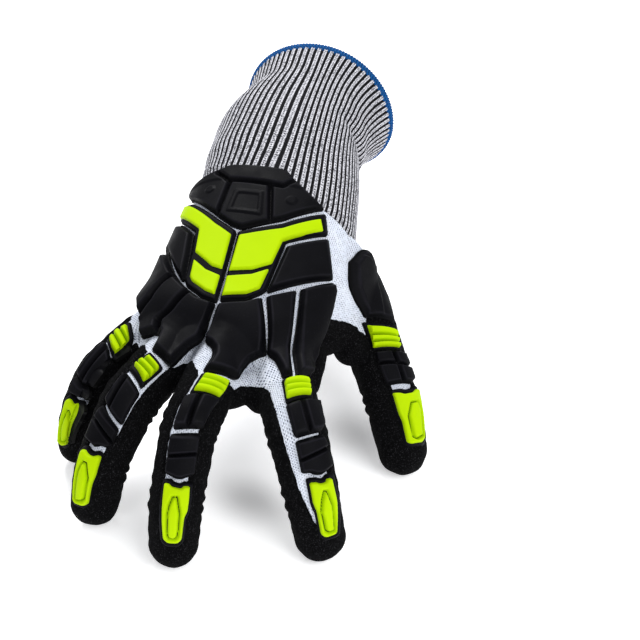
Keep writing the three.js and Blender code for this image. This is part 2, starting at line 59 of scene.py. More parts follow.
# The camera and the floor, in millimetres in the row frame.
CAMERA_AT = (17.8, -515.3, 270.7)
CAMERA_DROP = 33.4
CAMERA_FOCAL = 1204 / 640
FLOOR_LEVEL = -85.1

# Walls, ribs, coat and hem, and the size of the voxels that the bare skin is made from.
KNIT_WALL = 1.5
CUFF_WALL = 1.6
RIB_HEIGHT = 0.9
RIB_COUNT = 72
COAT_WALL = 0.8
HEM_WIDTH = 4.4
VOXEL = 1.3

# The sleeve from the cuff's mouth to the finger webs, as ovals across the arm: the middle of each,
# its reach to the little-finger side, thumb side, back and palm, its slant, lean and squareness.
SLEEVE_COLUMNS = ("along", "right", "up", "little", "thumb", "rise", "drop", "slant", "lean", "power")
SLEEVE = [
    (84, -4.5, -18, 41, 38.5, 35, 30, -0.08, 0.28, 2),
    (69, -3.5, -13.5, 38.5, 32, 32.5, 30, -0.05, 0.26, 2),
    (45, -2, -7, 44, 28.5, 30, 29, 0, 0.2, 2.1),
    (20, 0, -1.5, 44, 31.5, 28, 27, 0, 0.1, 2.1),
    (-12, 0, 0, 40, 40.5, 24.4, 24.6, -0.25, 0, 2.3),
    (-50, 0, 0, 39, 42, 20, 21, -0.04, 0, 2.5),
    (-72, 0, 0, 39, 41, 18, 17, -0.1, 0, 2.5),
    (-90, 0, 0, 41, 37, 16, 14, -0.16, 0, 2.4),
    (-99, 0, 0, 38, 34, 11, 10, -0.2, 0, 2.3),
]
MOUTH = SLEEVE[0][0]

# The sleeve's row where the cuff meets the knitted hand, and how that seam slants to the thumb.
SEAM_ROW = 4
SEAM_PLACE = SLEEVE[SEAM_ROW][0]
SEAM_SLANT = 0.25

# Each finger: its knuckle, how it spreads and drops, the bends at its joints with the side they
# bend in, the way its back faces, its bones and its width at each joint and the tip.
FINGER_COLUMNS = ("knuckle", "splay", "drop", "lean", "facing", "bends", "bones", "widths", "root")
FINGERS = {
    "index": ((23.2, -90, 0), 29.5, 0, 0, -17, (-8, 39, 22), (44, 26, 28), (23.5, 22.5, 20.4, 18.4), 21),
    "middle": ((2, -93, 2), 2.4, 0, 0, -8, (-14, 45, 26), (49, 30, 28), (23, 21, 19.6, 17.8), 21),
    "ring": ((-17, -87, 0), -13.5, 0, 0, -5, (-8, 40, 27), (46, 29, 26.4), (22.5, 21.5, 19.4, 18), 20),
    "little": ((-35, -79, -6), -25, 0, 0, 0, (0, 45, 24), (37, 21, 25), (19.5, 18, 17, 16), 18),
    "thumb": ((25, -14, -12), 40, 16, -88, 64, (0, 7, 7), (46, 36, 34.5), (34, 25, 22, 19.4), 57),
}
BEND_LENGTH = 16

# Each web is the skin stretched over its soft corners.
WEBS = [
    [
        ((24, -18, -4), 15), ((33, -22, -6), 14), ((38, -14.5, -2), 9), ((30, -66, 0), 12),
        ((46, -52, -18), 9.5), ((38, -72, -5), 8),
    ],
    [((46, -52, -18), 9.5), ((50.5, -65.5, -18.5), 7)],
    [((36, -84, -3), 8), ((39, -98, -5), 5.5)],
    [((25, -111.5, 0.5), 7), ((17.5, -108.5, 1.5), 6.5)],
    [((9, -114.5, 2), 7), ((17.5, -108.5, 1.5), 6.5)],
    [((2, -113, 1.5), 7.5), ((-16, -107, 0), 7.5), ((-8.5, -111, 0), 6)],
    [((-22, -104, -2), 8), ((-36, -95, -7), 7.5), ((-31, -104, -9), 6.5)],
]

# Places on the back of the hand are given as (u, y): u goes round the hand from the middle of its
# back to the thumb side, on a drum of this radius whose axis runs this far below the palm.
DRUM = 60.0
DRUM_DROP = 40.0


def smoothstep(low, high, value):
    share = np.clip((value - low) / (high - low), 0, 1)
    return share * share * (3 - 2 * share)


def curve_through(knots, values, at):
    """A smooth curve through values at rising knots, read at the given places."""
    knots = np.asarray(knots, float)
    values = np.asarray(values, float)
    slopes = np.gradient(values, knots, axis=0)
    at = np.asarray(at, float)
    i = np.clip(np.searchsorted(knots, at, side="right") - 1, 0, len(knots) - 2)
    width = knots[i + 1] - knots[i]
    t = np.clip((at - knots[i]) / width, 0, 1)
    if values.ndim > 1:
        width, t = width[..., None], t[..., None]
    low = (2 * t**3 - 3 * t**2 + 1) * values[i] + (t**3 - 2 * t**2 + t) * width * slopes[i]
    high = (3 * t**2 - 2 * t**3) * values[i + 1] + (t**3 - t**2) * width * slopes[i + 1]
    return low + high


def turned(vector, axis, degrees):
    return Quaternion(axis, math.radians(degrees)) @ vector


class Finger:
    """A bent finger: its middle line with side, back and forward directions, and its radius."""

    STEP = 0.5

    def __init__(self, row):
        facts = dict(zip(FINGER_COLUMNS, row))
        self.bones = facts["bones"]
        self.total = sum(self.bones)
        self.root = facts["root"]
        self.knots = np.concatenate([[0], np.cumsum(self.bones)])
        self.widths = facts["widths"]
        turn = math.radians(facts["splay"])
        forward = Vector((math.sin(turn), -math.cos(turn), 0))
        side = Vector((math.cos(turn), math.sin(turn), 0))
        back = Vector((0, 0, 1))
        forward = turned(forward, side, facts["drop"])
        back = turned(back, side, facts["drop"])
        side = turned(side, forward, facts["lean"])
        back = turned(back, forward, facts["lean"])
        forward, side, back = (np.array(v) for v in (forward, side, back))
        self.stations = np.arange(-24, self.total + 12, self.STEP)
        bend = self.bend(facts["bends"], self.stations)
        along = np.cos(bend)[:, None] * forward - np.sin(bend)[:, None] * back
        out = np.cos(bend)[:, None] * back + np.sin(bend)[:, None] * forward
        middle = (along[1:] + along[:-1]) / 2 * self.STEP
        places = np.vstack([np.zeros(3), np.cumsum(middle, axis=0)])
        start = np.argmin(np.abs(self.stations))
        self.places = places - places[start] + np.array(facts["knuckle"], float)
        facing = math.radians(facts["facing"])
        sides = np.tile(side, (len(bend), 1))
        self.sides = sides * math.cos(facing) + np.cross(along, sides) * math.sin(facing)
        self.backs = out * math.cos(facing) + np.cross(along, out) * math.sin(facing)
        self.alongs = along

    def bend(self, bends, stations):
        total = np.zeros(len(stations))
        for joint, degrees in zip(self.knots[:3], bends):
            share = smoothstep(joint - BEND_LENGTH / 2, joint + BEND_LENGTH / 2, stations)
            total += math.radians(degrees) * share
        return total

    def read(self, table, s):
        return np.stack([np.interp(s, self.stations, table[:, k]) for k in range(3)], axis=-1)

    def frame(self, s):
        return (self.read(t, s) for t in (self.places, self.sides, self.alongs, self.backs))

    def radius(self, s):
        return np.interp(s, self.knots, self.widths) / 2

    def point(self, u, s, height):
        """The point u millimetres round the back to the thumb side, at station s."""
        place, side, _, back = self.frame(s)
        radius = self.radius(s)
        angle = (u / radius)[..., None]
        reach = (radius + height)[..., None]
        return place + reach * (np.sin(angle) * side + np.cos(angle) * back)


FINGER = {name: Finger(row) for name, row in FINGERS.items()}


def sleeve_point(along, angle, grow=0.0):
    """A point on the sleeve, along the arm and at an angle round it from the thumb side over the back."""
    rows = np.array(SLEEVE[::-1], float)
    row = dict(zip(SLEEVE_COLUMNS, np.moveaxis(curve_through(rows[:, 0], rows, along), -1, 0)))
    cos, sin = np.cos(angle), np.sin(angle)
    across = np.sign(cos) * np.abs(cos) ** (2 / row["power"])
    rise = np.sign(sin) * np.abs(sin) ** (2 / row["power"])
    x = across * np.where(cos > 0, row["thumb"] + grow, row["little"] + grow)
    z = rise * np.where(sin > 0, row["rise"] + grow, row["drop"] + grow)
    y = along + row["slant"] * x + row["lean"] * z
    return np.stack([row["right"] + x, y, row["up"] + z], axis=-1)


def tube_faces(rows, sides):
    """Faces of a tube of rings, closed by a middle point for each end, listed after the rings."""
    i = np.arange(sides)
    j = (i + 1) % sides
    base = np.arange(rows - 1)[:, None] * sides
    quads = np.stack([base + i, base + j, base + sides + j, base + sides + i], axis=-1).reshape(-1, 4)
    start, end, last = rows * sides, rows * sides + 1, (rows - 1) * sides
    faces = quads.tolist()
    faces += [(start, b, a) for a, b in zip(i.tolist(), j.tolist())]
    faces += [(end, last + a, last + b) for a, b in zip(i.tolist(), j.tolist())]
    return faces


def capped(rings, tip=None):
    rows, sides = rings.shape[:2]
    ends = [rings[0].mean(0), rings[-1].mean(0) if tip is None else tip]
    return np.vstack([rings.reshape(-1, 3), ends]), tube_faces(rows, sides)


def sleeve_body():
    alongs = np.linspace(SLEEVE[0][0], SLEEVE[-1][0], 90)
    angles = np.linspace(0, 2 * math.pi, 96, endpoint=False)
    return capped(sleeve_point(alongs[:, None], angles[None, :]))


def finger_body(finger):
    dome = finger.widths[3] / 2
    turns = np.radians(np.arange(10, 86, 10))
    tube = np.arange(-16, finger.total - dome, 1.5)
    stations = np.concatenate([tube, finger.total - dome + dome * np.sin(turns)])
    reach = np.concatenate([np.ones(len(tube)), np.cos(turns)])
    angles = np.linspace(0, 2 * math.pi, 40, endpoint=False)
    place, side, _, back = finger.frame(stations)
    radius = (finger.radius(stations) * reach)[:, None, None]
    turn = angles[None, :, None]
    rings = place[:, None] + radius * (np.cos(turn) * side[:, None] + np.sin(turn) * back[:, None])
    end, _, along, _ = finger.frame(finger.total - dome)
    return capped(rings, end + along * dome)


def web_body(corners):
    shape = bmesh.new()
    for at, radius in corners:
        bmesh.ops.create_icosphere(shape, subdivisions=3, radius=radius, matrix=Matrix.Translation(at))
    hull = bmesh.ops.convex_hull(shape, input=shape.verts)
    inside = [g for g in hull["geom_interior"] if isinstance(g, bmesh.types.BMVert)]
    bmesh.ops.delete(shape, geom=inside, context="VERTS")
    shape.verts.index_update()
    points = np.array([v.co for v in shape.verts])
    faces = [[v.index for v in f.verts] for f in shape.faces]
    shape.free()
    return points, faces


def placed(name, data):
    """A new object of the scene that shows this data."""
    obj = bpy.data.objects.new(name, data)
    bpy.context.scene.collection.objects.link(obj)
    return obj


def plain_mesh(name, points, faces):
    mesh = bpy.data.meshes.new(name)
    mesh.from_pydata(np.asarray(points, float).tolist(), [], [list(f) for f in faces])
    mesh.update()
    return mesh


def joined(bodies):
    points, faces, start = [], [], 0
    for body_points, body_faces in bodies:
        points.append(body_points)
        faces += [[start + i for i in f] for f in body_faces]
        start += len(body_points)
    return np.vstack(points), faces


def remeshed(points, faces, voxel):
    """The outer skin of overlapping closed shapes, as even quads."""
    obj = placed("skin", plain_mesh("skin", points, faces))
    remesh = obj.modifiers.new("Remesh", "REMESH")
    remesh.mode = "VOXEL"
    remesh.voxel_size = voxel
    evaluated = obj.evaluated_get(bpy.context.evaluated_depsgraph_get())
    mesh = bpy.data.meshes.new_from_object(evaluated)
    bpy.data.objects.remove(obj)
    return mesh


def mesh_points(mesh):
    points = np.zeros(len(mesh.vertices) * 3)
    mesh.vertices.foreach_get("co", points)
    return points.reshape(-1, 3)


# How a skin is evened: the passes, each with a pull to the neighbours' mean and a push back.
SMOOTH_PASSES = 14
SMOOTH_STEPS = (0.5, -0.53)


def smoothed(points, edges):
    """Evens a skin without shrinking it."""
    count = np.bincount(edges.ravel(), minlength=len(points))[:, None]
    for _ in range(SMOOTH_PASSES):
        for step in SMOOTH_STEPS:
            total = np.zeros_like(points)
            np.add.at(total, edges[:, 0], points[edges[:, 1]])
            np.add.at(total, edges[:, 1], points[edges[:, 0]])
            points = points + step * (total / count - points)
    return points


def mesh_arrays(mesh):
    """Points, triangles and edges of a mesh."""
    mesh.calc_loop_triangles()
    triangles = np.zeros(len(mesh.loop_triangles) * 3, int)
    mesh.loop_triangles.foreach_get("vertices", triangles)
    edges = np.zeros(len(mesh.edges) * 2, int)
    mesh.edges.foreach_get("vertices", edges)
    return mesh_points(mesh), triangles.reshape(-1, 3), edges.reshape(-1, 2)


def point_normals(points, triangles):
    corners = points[triangles]
    face = np.cross(corners[:, 1] - corners[:, 0], corners[:, 2] - corners[:, 0])
    total = np.zeros_like(points)
    for k in range(3):
        np.add.at(total, triangles[:, k], face)
    return total / np.maximum(np.linalg.norm(total, axis=1, keepdims=True), 1e-12)


def build_skin():
    """The bare hand and sleeve as one smooth closed skin: points, triangles and point normals."""
    bodies = [sleeve_body(), *map(web_body, WEBS), *map(finger_body, FINGER.values())]
    mesh = remeshed(*joined(bodies), VOXEL)
    points, triangles, edges = mesh_arrays(mesh)
    bpy.data.meshes.remove(mesh)
    points = smoothed(points, edges)
    return points, triangles, point_normals(points, triangles)


SKIN, SKIN_FACES, SKIN_NORMALS = build_skin()


def drum_point(u, y, height):
    angle = u / DRUM
    reach = DRUM + height
    return np.stack([reach * np.sin(angle), y, reach * np.cos(angle) - DRUM_DROP], axis=-1)


def closed_gaps(heights, reach):
    """Bridges valleys narrower than twice the reach, then evens the result a little."""
    offsets = range(-reach, reach + 1)
    disk = [(i, j) for i in offsets for j in offsets if i * i + j * j <= reach * reach]

    def spread(values, choose):
        padded = np.pad(values, reach, mode="edge")
        rows, columns = values.shape
        shifted = [padded[reach + i:reach + i + rows, reach + j:reach + j + columns] for i, j in disk]
        return choose.reduce(shifted)

    closed = spread(spread(heights, np.maximum), np.minimum)
    for _ in range(4):
        padded = np.pad(closed, 1, mode="edge")
        cross = padded[2:, 1:-1] + padded[:-2, 1:-1] + padded[1:-1, 2:] + padded[1:-1, :-2]
        closed = closed / 2 + cross / 8
    return closed


class Cover:
    """A smooth sheet that lies on the skin, with places on it given as (u, v)."""

    FAR = 30.0
    DEEP = -14.0

    def __init__(self, skin, place, u_range, v_range, bridge):
        self.place = place
        self.u = np.arange(u_range[0], u_range[1] + 1.0)
        self.v = np.arange(v_range[0], v_range[1] + 1.0)
        u, v = np.meshgrid(self.u, self.v, indexing="ij")
        starts = place(u, v, self.FAR).reshape(-1, 3)
        ends = place(u, v, self.DEEP).reshape(-1, 3)
        heights = []
        for start, end in zip(starts, ends):
            distance = skin.ray_cast(Vector(start), Vector(end - start), self.FAR - self.DEEP)[3]
            heights.append(self.DEEP if distance is None else self.FAR - distance)
        self.heights = closed_gaps(np.array(heights).reshape(u.shape), bridge)

    def lift(self, u, v):
        i = np.clip(u - self.u[0], 0, len(self.u) - 1.001)
        j = np.clip(v - self.v[0], 0, len(self.v) - 1.001)
        a, b = np.floor(i).astype(int), np.floor(j).astype(int)
        s, t = i - a, j - b
        h = self.heights
        low = h[a, b] * (1 - s) + h[a + 1, b] * s
        high = h[a, b + 1] * (1 - s) + h[a + 1, b + 1] * s
        return low * (1 - t) + high * t

    def surface(self, u, v):
        return self.place(u, v, self.lift(u, v))

    def point(self, u, v, height):
        """The place this high above the sheet, square to it."""
        step = 1.0
        across = self.surface(u + step, v) - self.surface(u - step, v)
        along = self.surface(u, v + step) - self.surface(u, v - step)
        normal = np.cross(across, along)
        normal /= np.linalg.norm(normal, axis=-1, keepdims=True)
        outward = self.place(u, v, 1.0) - self.place(u, v, 0.0)
        normal *= np.sign((normal * outward).sum(-1, keepdims=True))
        return self.surface(u, v) + normal * np.asarray(height)[..., None]


def build_covers():
    tree = BVHTree.FromPolygons(SKIN.tolist(), SKIN_FACES.tolist())
    covers = {"hand": Cover(tree, drum_point, (-64, 64), (-130, 20), 7)}
    for name, finger in FINGER.items():
        reach = (-26, 26) if name == "thumb" else (-17, 17)
        covers[name] = Cover(tree, finger.point, reach, (2, finger.total + 2), 2)
    return covers


COVERS = build_covers()


# The spacing of the triangles of a pad, how far its outline's corners are eased, and the angle in
# degrees from which an edge between two faces is shown sharp.
PATCH_PITCH = 0.42
PAD_CORNER = 0.8
SHARP_EDGE = 60


def segment_distance(u, v, a, b):
    du, dv = b[0] - a[0], b[1] - a[1]
    share = np.clip(((u - a[0]) * du + (v - a[1]) * dv) / (du * du + dv * dv), 0, 1)
    return np.hypot(u - a[0] - share * du, v - a[1] - share * dv)


def path_distance(u, v, path):
    return np.min([segment_distance(u, v, a, b) for a, b in zip(path, path[1:])], axis=0)


def outline_depth(u, v, outline):
    """How far inside a closed outline each place lies, negative outside it."""
    inside = np.zeros(np.shape(u), bool)
    ring = [*outline, outline[0]]
    for (a, b), (c, d) in zip(ring, ring[1:]):
        if b != d:
            inside ^= ((b > v) != (d > v)) & (u < (c - a) * (v - b) / (d - b) + a)
    distance = path_distance(u, v, ring)
    return np.where(inside, distance, -distance)


def rounded(outline, radius):
    """The outline with its corners eased."""
    corners = [np.array(p, float) for p in outline]
    points = []
    for i, corner in enumerate(corners):
        before = corners[i - 1] - corner
        after = corners[(i + 1) % len(corners)] - corner
        start = corner + before * min(radius / np.linalg.norm(before), 0.45)
        end = corner + after * min(radius / np.linalg.norm(after), 0.45)
        for t in np.linspace(0, 1, 6):
            points.append(tuple((1 - t) ** 2 * start + 2 * t * (1 - t) * corner + t * t * end))
    return points


def clipped(triangles, field, *tables):
    """Cuts off triangles where the field is below zero, and cuts tables of point values with them."""
    corners = (field >= 0)[triangles]
    count = corners.sum(1)
    odd = np.where(count == 1, np.argmax(corners, 1), np.argmin(corners, 1))
    turn = (odd[:, None] + np.arange(3)) % 3
    rolled = np.take_along_axis(triangles, turn, 1)
    one, two = rolled[count == 1], rolled[count == 2]
    pairs = np.vstack([one[:, [0, 1]], one[:, [0, 2]], two[:, [0, 1]], two[:, [0, 2]]])
    pairs, index = np.unique(np.sort(pairs, axis=1), axis=0, return_inverse=True)
    first, second = pairs.T
    share = field[first] / (field[first] - field[second])
    new = len(field) + index.ravel()
    one_b, one_c, two_b, two_c = np.split(new, np.cumsum([len(one), len(one), len(two)]))
    faces = np.vstack([
        triangles[count == 3],
        np.stack([one[:, 0], one_b, one_c], 1),
        np.stack([two_b, two[:, 1], two[:, 2]], 1),
        np.stack([two_b, two[:, 2], two_c], 1),
    ])
    used, faces = np.unique(faces, return_inverse=True)
    cut = []
    for table in tables:
        weight = share.reshape(-1, *[1] * (table.ndim - 1))
        between = table[first] + weight * (table[second] - table[first])
        cut.append(np.concatenate([table, between])[used])
    return faces.reshape(-1, 3), *cut


def welded(faces, places):
    """Joins points that share a place, and drops the faces that vanish."""
    _, first, index = np.unique(np.round(places, 4), axis=0, return_index=True, return_inverse=True)
    faces = index.ravel()[faces]
    whole = (faces != np.roll(faces, -1, axis=1)).all(1)
    return faces[whole], places[first]


def shell_faces(triangles, count):
    """Faces of a closed body of two layers, outer points then inner points, of the same triangles."""
    edges = np.vstack([triangles[:, [0, 1]], triangles[:, [1, 2]], triangles[:, [2, 0]]])
    keys = edges[:, 0] * count + edges[:, 1]
    backs = edges[:, 1] * count + edges[:, 0]
    rim = edges[~np.isin(keys, backs)]
    sides = np.stack([rim[:, 1], rim[:, 0], rim[:, 0] + count, rim[:, 1] + count], 1)
    return triangles.tolist() + (triangles[:, ::-1] + count).tolist() + sides.tolist()


def patch(outline, pitch, spread):
    """Even triangles inside an outline grown by a spread, with places near the edge moved onto it."""
    ring = np.array(outline)
    margin = spread + 1.5 * pitch
    low, high = ring.min(0) - margin, ring.max(0) + margin
    us, vs = (np.arange(low[k], high[k], pitch) for k in (0, 1))
    u, v = np.meshgrid(us, vs, indexing="ij")
    rows, columns = u.shape
    depth = outline_depth(u, v, outline) + spread
    across, along = np.gradient(depth, pitch)
    near = np.abs(depth) < 0.35 * pitch
    u = np.where(near, u - depth * across, u)
    v = np.where(near, v - depth * along, v)
    depth = np.where(near, 0, depth)
    i, j = np.meshgrid(np.arange(rows - 1), np.arange(columns - 1), indexing="ij")
    a = (i * columns + j).ravel()
    b, c, d = a + columns, a + columns + 1, a + 1
    triangles = np.vstack([np.stack([a, b, c], 1), np.stack([a, c, d], 1)])
    places = np.stack([u.ravel(), v.ravel()], 1)
    faces, places = clipped(triangles, depth.ravel(), places)
    return welded(faces, places)


def eased(share):
    """A quarter-round rise from 0 to 1."""
    return np.sqrt(1 - (1 - np.clip(share, 0, 1)) ** 2)


def bevelled(share):
    """A sloping rise from 0 to 1 that eases into a flat top."""
    return 1 - (1 - np.clip(share, 0, 1)) ** 1.6


def finished(name, points, faces, material, nodes, values=None, corners=None):
    """Makes a piece in the row frame, with its finish, its point values and its place in the model."""
    mesh = plain_mesh(name, np.asarray(points) @ np.array(HAND).T * MM, faces)
    for key, table in (values or {}).items():
        layer = mesh.attributes.new(key, "FLOAT", "POINT")
        layer.data.foreach_set("value", np.asarray(table, np.float32))
    if corners is not None:
        layer = mesh.uv_layers.new(name="thread")
        layer.data.foreach_set("uv", np.asarray(corners, np.float32).ravel())
    else:
        shape = bmesh.new()
        shape.from_mesh(mesh)
        bmesh.ops.recalc_face_normals(shape, faces=shape.faces)
        shape.to_mesh(mesh)
        shape.free()
    mesh.shade_smooth()
    mesh.set_sharp_from_angle(angle=math.radians(SHARP_EDGE))
    mesh.materials.append(material)
    obj = placed(name, mesh)
    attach(obj, "root")
    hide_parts(*nodes)


def pad(name, cover, outline, material, slot, top, bevel, floor=1.1, base=-0.4, grooves=(), rim=0.5,
        spread=0.0, shape=None, pitch=PATCH_PITCH):
    """A moulded pad on a cover: a thin rim, sloping sides, a flat top, and (path, half width) grooves."""
    outline = rounded(outline, PAD_CORNER)
    faces, places = patch(outline, pitch, spread)
    u, v = places.T
    depth = outline_depth(u, v, outline) + spread
    edge = depth - rim
    for path, half in grooves:
        edge = np.minimum(edge, path_distance(u, v, path) - half)
    height = floor + (top - floor) * bevelled(edge / bevel)
    if shape is not None:
        height = height + shape(u, v, depth)
    outer = COVERS[cover].point(u, v, height)
    inner = COVERS[cover].point(u, v, base)
    values = {
        "edge": np.concatenate([edge, edge * 0 - 1]),
        "shoulder": np.concatenate([edge / bevel, edge * 0]),
    }
    points = np.vstack([outer, inner])
    finished(name, points, shell_faces(faces, len(u)), material, [name], values)


def tone(red, green, blue):
    """A colour given by its levels in a picture, as linear light."""
    return (*(((level / 255 + 0.055) / 1.055) ** 2.4 for level in (red, green, blue)), 1)


class Finish:
    """A material whose colour, gloss and relief are worked out by its nodes."""

    def __init__(self, name, roughness=0.6, gloss=0.3):
        self.material = bpy.data.materials.new(name)
        self.material.use_nodes = True
        self.tree = self.material.node_tree
        self.shader = self.tree.nodes["Principled BSDF"]
        self.shader.inputs["Roughness"].default_value = roughness
        self.shader.inputs["Specular IOR Level"].default_value = gloss

    def node(self, kind, values=(), **settings):
        made = self.tree.nodes.new(kind)
        for key, value in settings.items():
            setattr(made, key, value)
        for socket, value in zip(made.inputs, values):
            self.put(socket, value)
        return made

    def put(self, socket, value):
        if isinstance(value, bpy.types.NodeSocket):
            self.tree.links.new(value, socket)
        elif value is not None:
            socket.default_value = value

    def calc(self, operation, *values):
        return self.node("ShaderNodeMath", values, operation=operation).outputs[0]

    def ramp(self, value, low, high, start=0.0, end=1.0):
        values = (value, low, high, start, end)
        return self.node("ShaderNodeMapRange", values, interpolation_type="SMOOTHSTEP").outputs[0]

    def blend(self, share, first, second):
        made = self.node("ShaderNodeMix", (share,), data_type="RGBA")
        self.put(made.inputs[6], first)
        self.put(made.inputs[7], second)
        return made.outputs[2]

    def noise(self, size, detail=2.0, rough=0.5):
        """Cloudy values from 0 to 1, with clouds of this size in millimetres."""
        place = self.node("ShaderNodeTexCoord").outputs["Object"]
        return self.node("ShaderNodeTexNoise", (place, None, 1000 / size, detail, rough)).outputs[0]

    def point_value(self, name):
        return self.node("ShaderNodeAttribute", attribute_name=name).outputs["Fac"]

    def thread(self):
        """The two thread coordinates of a knitted piece."""
        place = self.node("ShaderNodeUVMap", uv_map="thread").outputs[0]
        parts = self.node("ShaderNodeSeparateXYZ", (place,)).outputs
        return parts[0], parts[1]

    def cell(self, column, row):
        """A chance value from 0 to 1 for each cell of a pattern."""
        place = self.node("ShaderNodeCombineXYZ", (column, row, 0.0)).outputs[0]
        return self.node("ShaderNodeTexWhiteNoise", (place,), noise_dimensions="3D").outputs[0]

    def done(self, colour, height, depth, roughness=None):
        """Sets the colour, and a relief this many millimetres deep."""
        self.put(self.shader.inputs["Base Color"], colour)
        bump = self.node("ShaderNodeBump")
        bump.inputs["Strength"].default_value = 1.0
        bump.inputs["Distance"].default_value = depth * MM
        self.put(bump.inputs["Height"], height)
        self.put(self.shader.inputs["Normal"], bump.outputs[0])
        self.put(self.shader.inputs["Roughness"], roughness)
        return self.material


def black_rubber():
    finish = Finish("black_rubber", roughness=0.6, gloss=0.04)
    clouds = finish.noise(11, 3)
    grain = finish.noise(0.5, 3)
    edge = finish.point_value("edge")
    # Painted highlight: a lighter sheen along the upper slope of each pad's sides and the edge of its top,
    # broken up by the clouds.
    painted_sheen = finish.ramp(finish.point_value("shoulder"), 0.55, 0.95)
    painted_sheen = finish.calc("MULTIPLY", painted_sheen, finish.ramp(finish.point_value("shoulder"), 1.0, 1.5, 1.0, 0.0))
    painted_sheen = finish.calc("MULTIPLY", painted_sheen, finish.ramp(clouds, 0.3, 0.6, 0.1, 0.4))
    colour = finish.blend(clouds, tone(7, 7, 9), tone(13, 13, 17))
    colour = finish.blend(painted_sheen, colour, tone(34, 33, 40))
    # Painted shade: darker on the rim, in the grooves and underneath.
    colour = finish.blend(finish.ramp(edge, -0.3, 0.15), tone(7, 7, 8), colour)
    dust = finish.ramp(finish.noise(0.7, 3), 0.66, 0.76, 0.0, 0.3)
    colour = finish.blend(dust, colour, tone(52, 52, 58))
    return finish.done(colour, grain, 0.06, finish.ramp(clouds, 0.3, 0.7, 0.42, 0.6))


def lime_rubber():
    finish = Finish("lime_rubber", roughness=0.5, gloss=0.03)
    clouds = finish.noise(12, 3)
    edge = finish.point_value("edge")
    colour = finish.blend(clouds, tone(172, 206, 0), tone(165, 199, 0))
    # Painted shade: darker towards the edges of each lime piece, and nearly black along its outline and in
    # its narrow grooves.
    colour = finish.blend(finish.ramp(edge, 0.0, 0.7, 0.4, 0.0), colour, tone(134, 168, 2))
    colour = finish.blend(finish.ramp(edge, -0.1, 0.08), tone(30, 36, 8), colour)
    return finish.done(colour, finish.noise(0.6, 2), 0.04)


def sandy_coat():
    finish = Finish("sandy_coat", roughness=0.85, gloss=0.02)
    grain = finish.noise(0.6, 3, rough=0.75)
    clouds = finish.noise(7, 3)
    colour = finish.blend(clouds, tone(5, 5, 6), tone(10, 10, 11))
    fleck = finish.ramp(grain, 0.54, 0.72)
    colour = finish.blend(finish.calc("MULTIPLY", fleck, 0.4), colour, tone(80, 80, 84))
    return finish.done(colour, grain, 0.35)


# The size of a stitch of the white knit.
KNIT_COLUMN = 0.9
KNIT_ROW = 1.1


def white_knit():
    finish = Finish("white_knit", roughness=0.9, gloss=0.1)
    across, along = finish.thread()
    columns = finish.calc("DIVIDE", across, KNIT_COLUMN)
    column = finish.calc("FLOOR", columns)
    shift = finish.calc("MULTIPLY", finish.calc("MODULO", column, 2.0), 0.5)
    rows = finish.calc("ADD", finish.calc("DIVIDE", along, KNIT_ROW), shift)
    row = finish.calc("FLOOR", rows)
    x = finish.calc("SUBTRACT", finish.calc("FRACT", columns), 0.5)
    y = finish.calc("SUBTRACT", finish.calc("FRACT", rows), 0.5)
    slanted = finish.calc("ADD", finish.calc("MULTIPLY", x, 1.25), finish.calc("MULTIPLY", y, 0.45))
    square = finish.calc("MULTIPLY", slanted, slanted)
    reach = finish.calc("SQRT", finish.calc("MULTIPLY_ADD", y, y, square))
    dot = finish.ramp(reach, 0.2, 0.42, 1.0, 0.0)
    patches = finish.ramp(finish.noise(14, 2), 0.3, 0.65, 0.35, 1.0)
    strength = finish.ramp(finish.cell(column, row), 0.0, 0.7, 0.3, 1.0)
    share = finish.calc("MULTIPLY", dot, finish.calc("MULTIPLY", strength, patches))
    base = finish.blend(finish.noise(5, 3), tone(214, 222, 238), tone(236, 240, 248))
    colour = finish.blend(share, base, tone(44, 50, 82))
    wave = finish.calc("ADD", rows, finish.calc("ABSOLUTE", x))
    loop = finish.calc("SINE", finish.calc("MULTIPLY", wave, 2 * math.pi))
    ridge = finish.calc("SUBTRACT", 1.0, finish.calc("MULTIPLY", finish.calc("ABSOLUTE", x), 1.6))
    height = finish.calc("MULTIPLY_ADD", loop, 0.25, ridge)
    return finish.done(colour, height, 0.28)


def rib_knit():
    finish = Finish("rib_knit", roughness=0.92, gloss=0.08)
    ribs, along = finish.thread()
    x = finish.calc("ABSOLUTE", finish.calc("SUBTRACT", finish.calc("FRACT", ribs), 0.5))
    row = finish.calc("DIVIDE", along, 1.25)
    y = finish.calc("ABSOLUTE", finish.calc("SUBTRACT", finish.calc("FRACT", row), 0.5))
    clouds = finish.noise(6, 3)
    light = finish.blend(clouds, tone(196, 196, 203), tone(230, 230, 236))
    narrow = finish.ramp(x, 0.07, 0.14, 1.0, 0.0)
    dots = finish.calc("MULTIPLY", narrow, finish.ramp(y, 0.2, 0.34, 1.0, 0.0))
    dots = finish.calc("MULTIPLY", dots, finish.ramp(clouds, 0.3, 0.6, 0.6, 0.95))
    specks = finish.ramp(finish.noise(1.0, 3, rough=0.8), 0.5, 0.57, 0.0, 0.85)
    light = finish.blend(finish.calc("MAXIMUM", dots, specks), light, tone(38, 38, 46))
    rung = finish.ramp(finish.calc("SINE", finish.calc("MULTIPLY", row, 4 * math.pi)), 0.4, 1.0)
    dark = finish.blend(finish.calc("MULTIPLY", rung, 0.3), tone(14, 14, 16), tone(90, 90, 96))
    colour = finish.blend(finish.ramp(x, 0.23, 0.3), light, dark)
    stitch = finish.calc("SINE", finish.calc("MULTIPLY", finish.calc("ADD", row, x), 2 * math.pi))
    height = finish.calc("MULTIPLY_ADD", stitch, 0.5, finish.noise(0.4, 2))
    return finish.done(colour, height, 0.16)


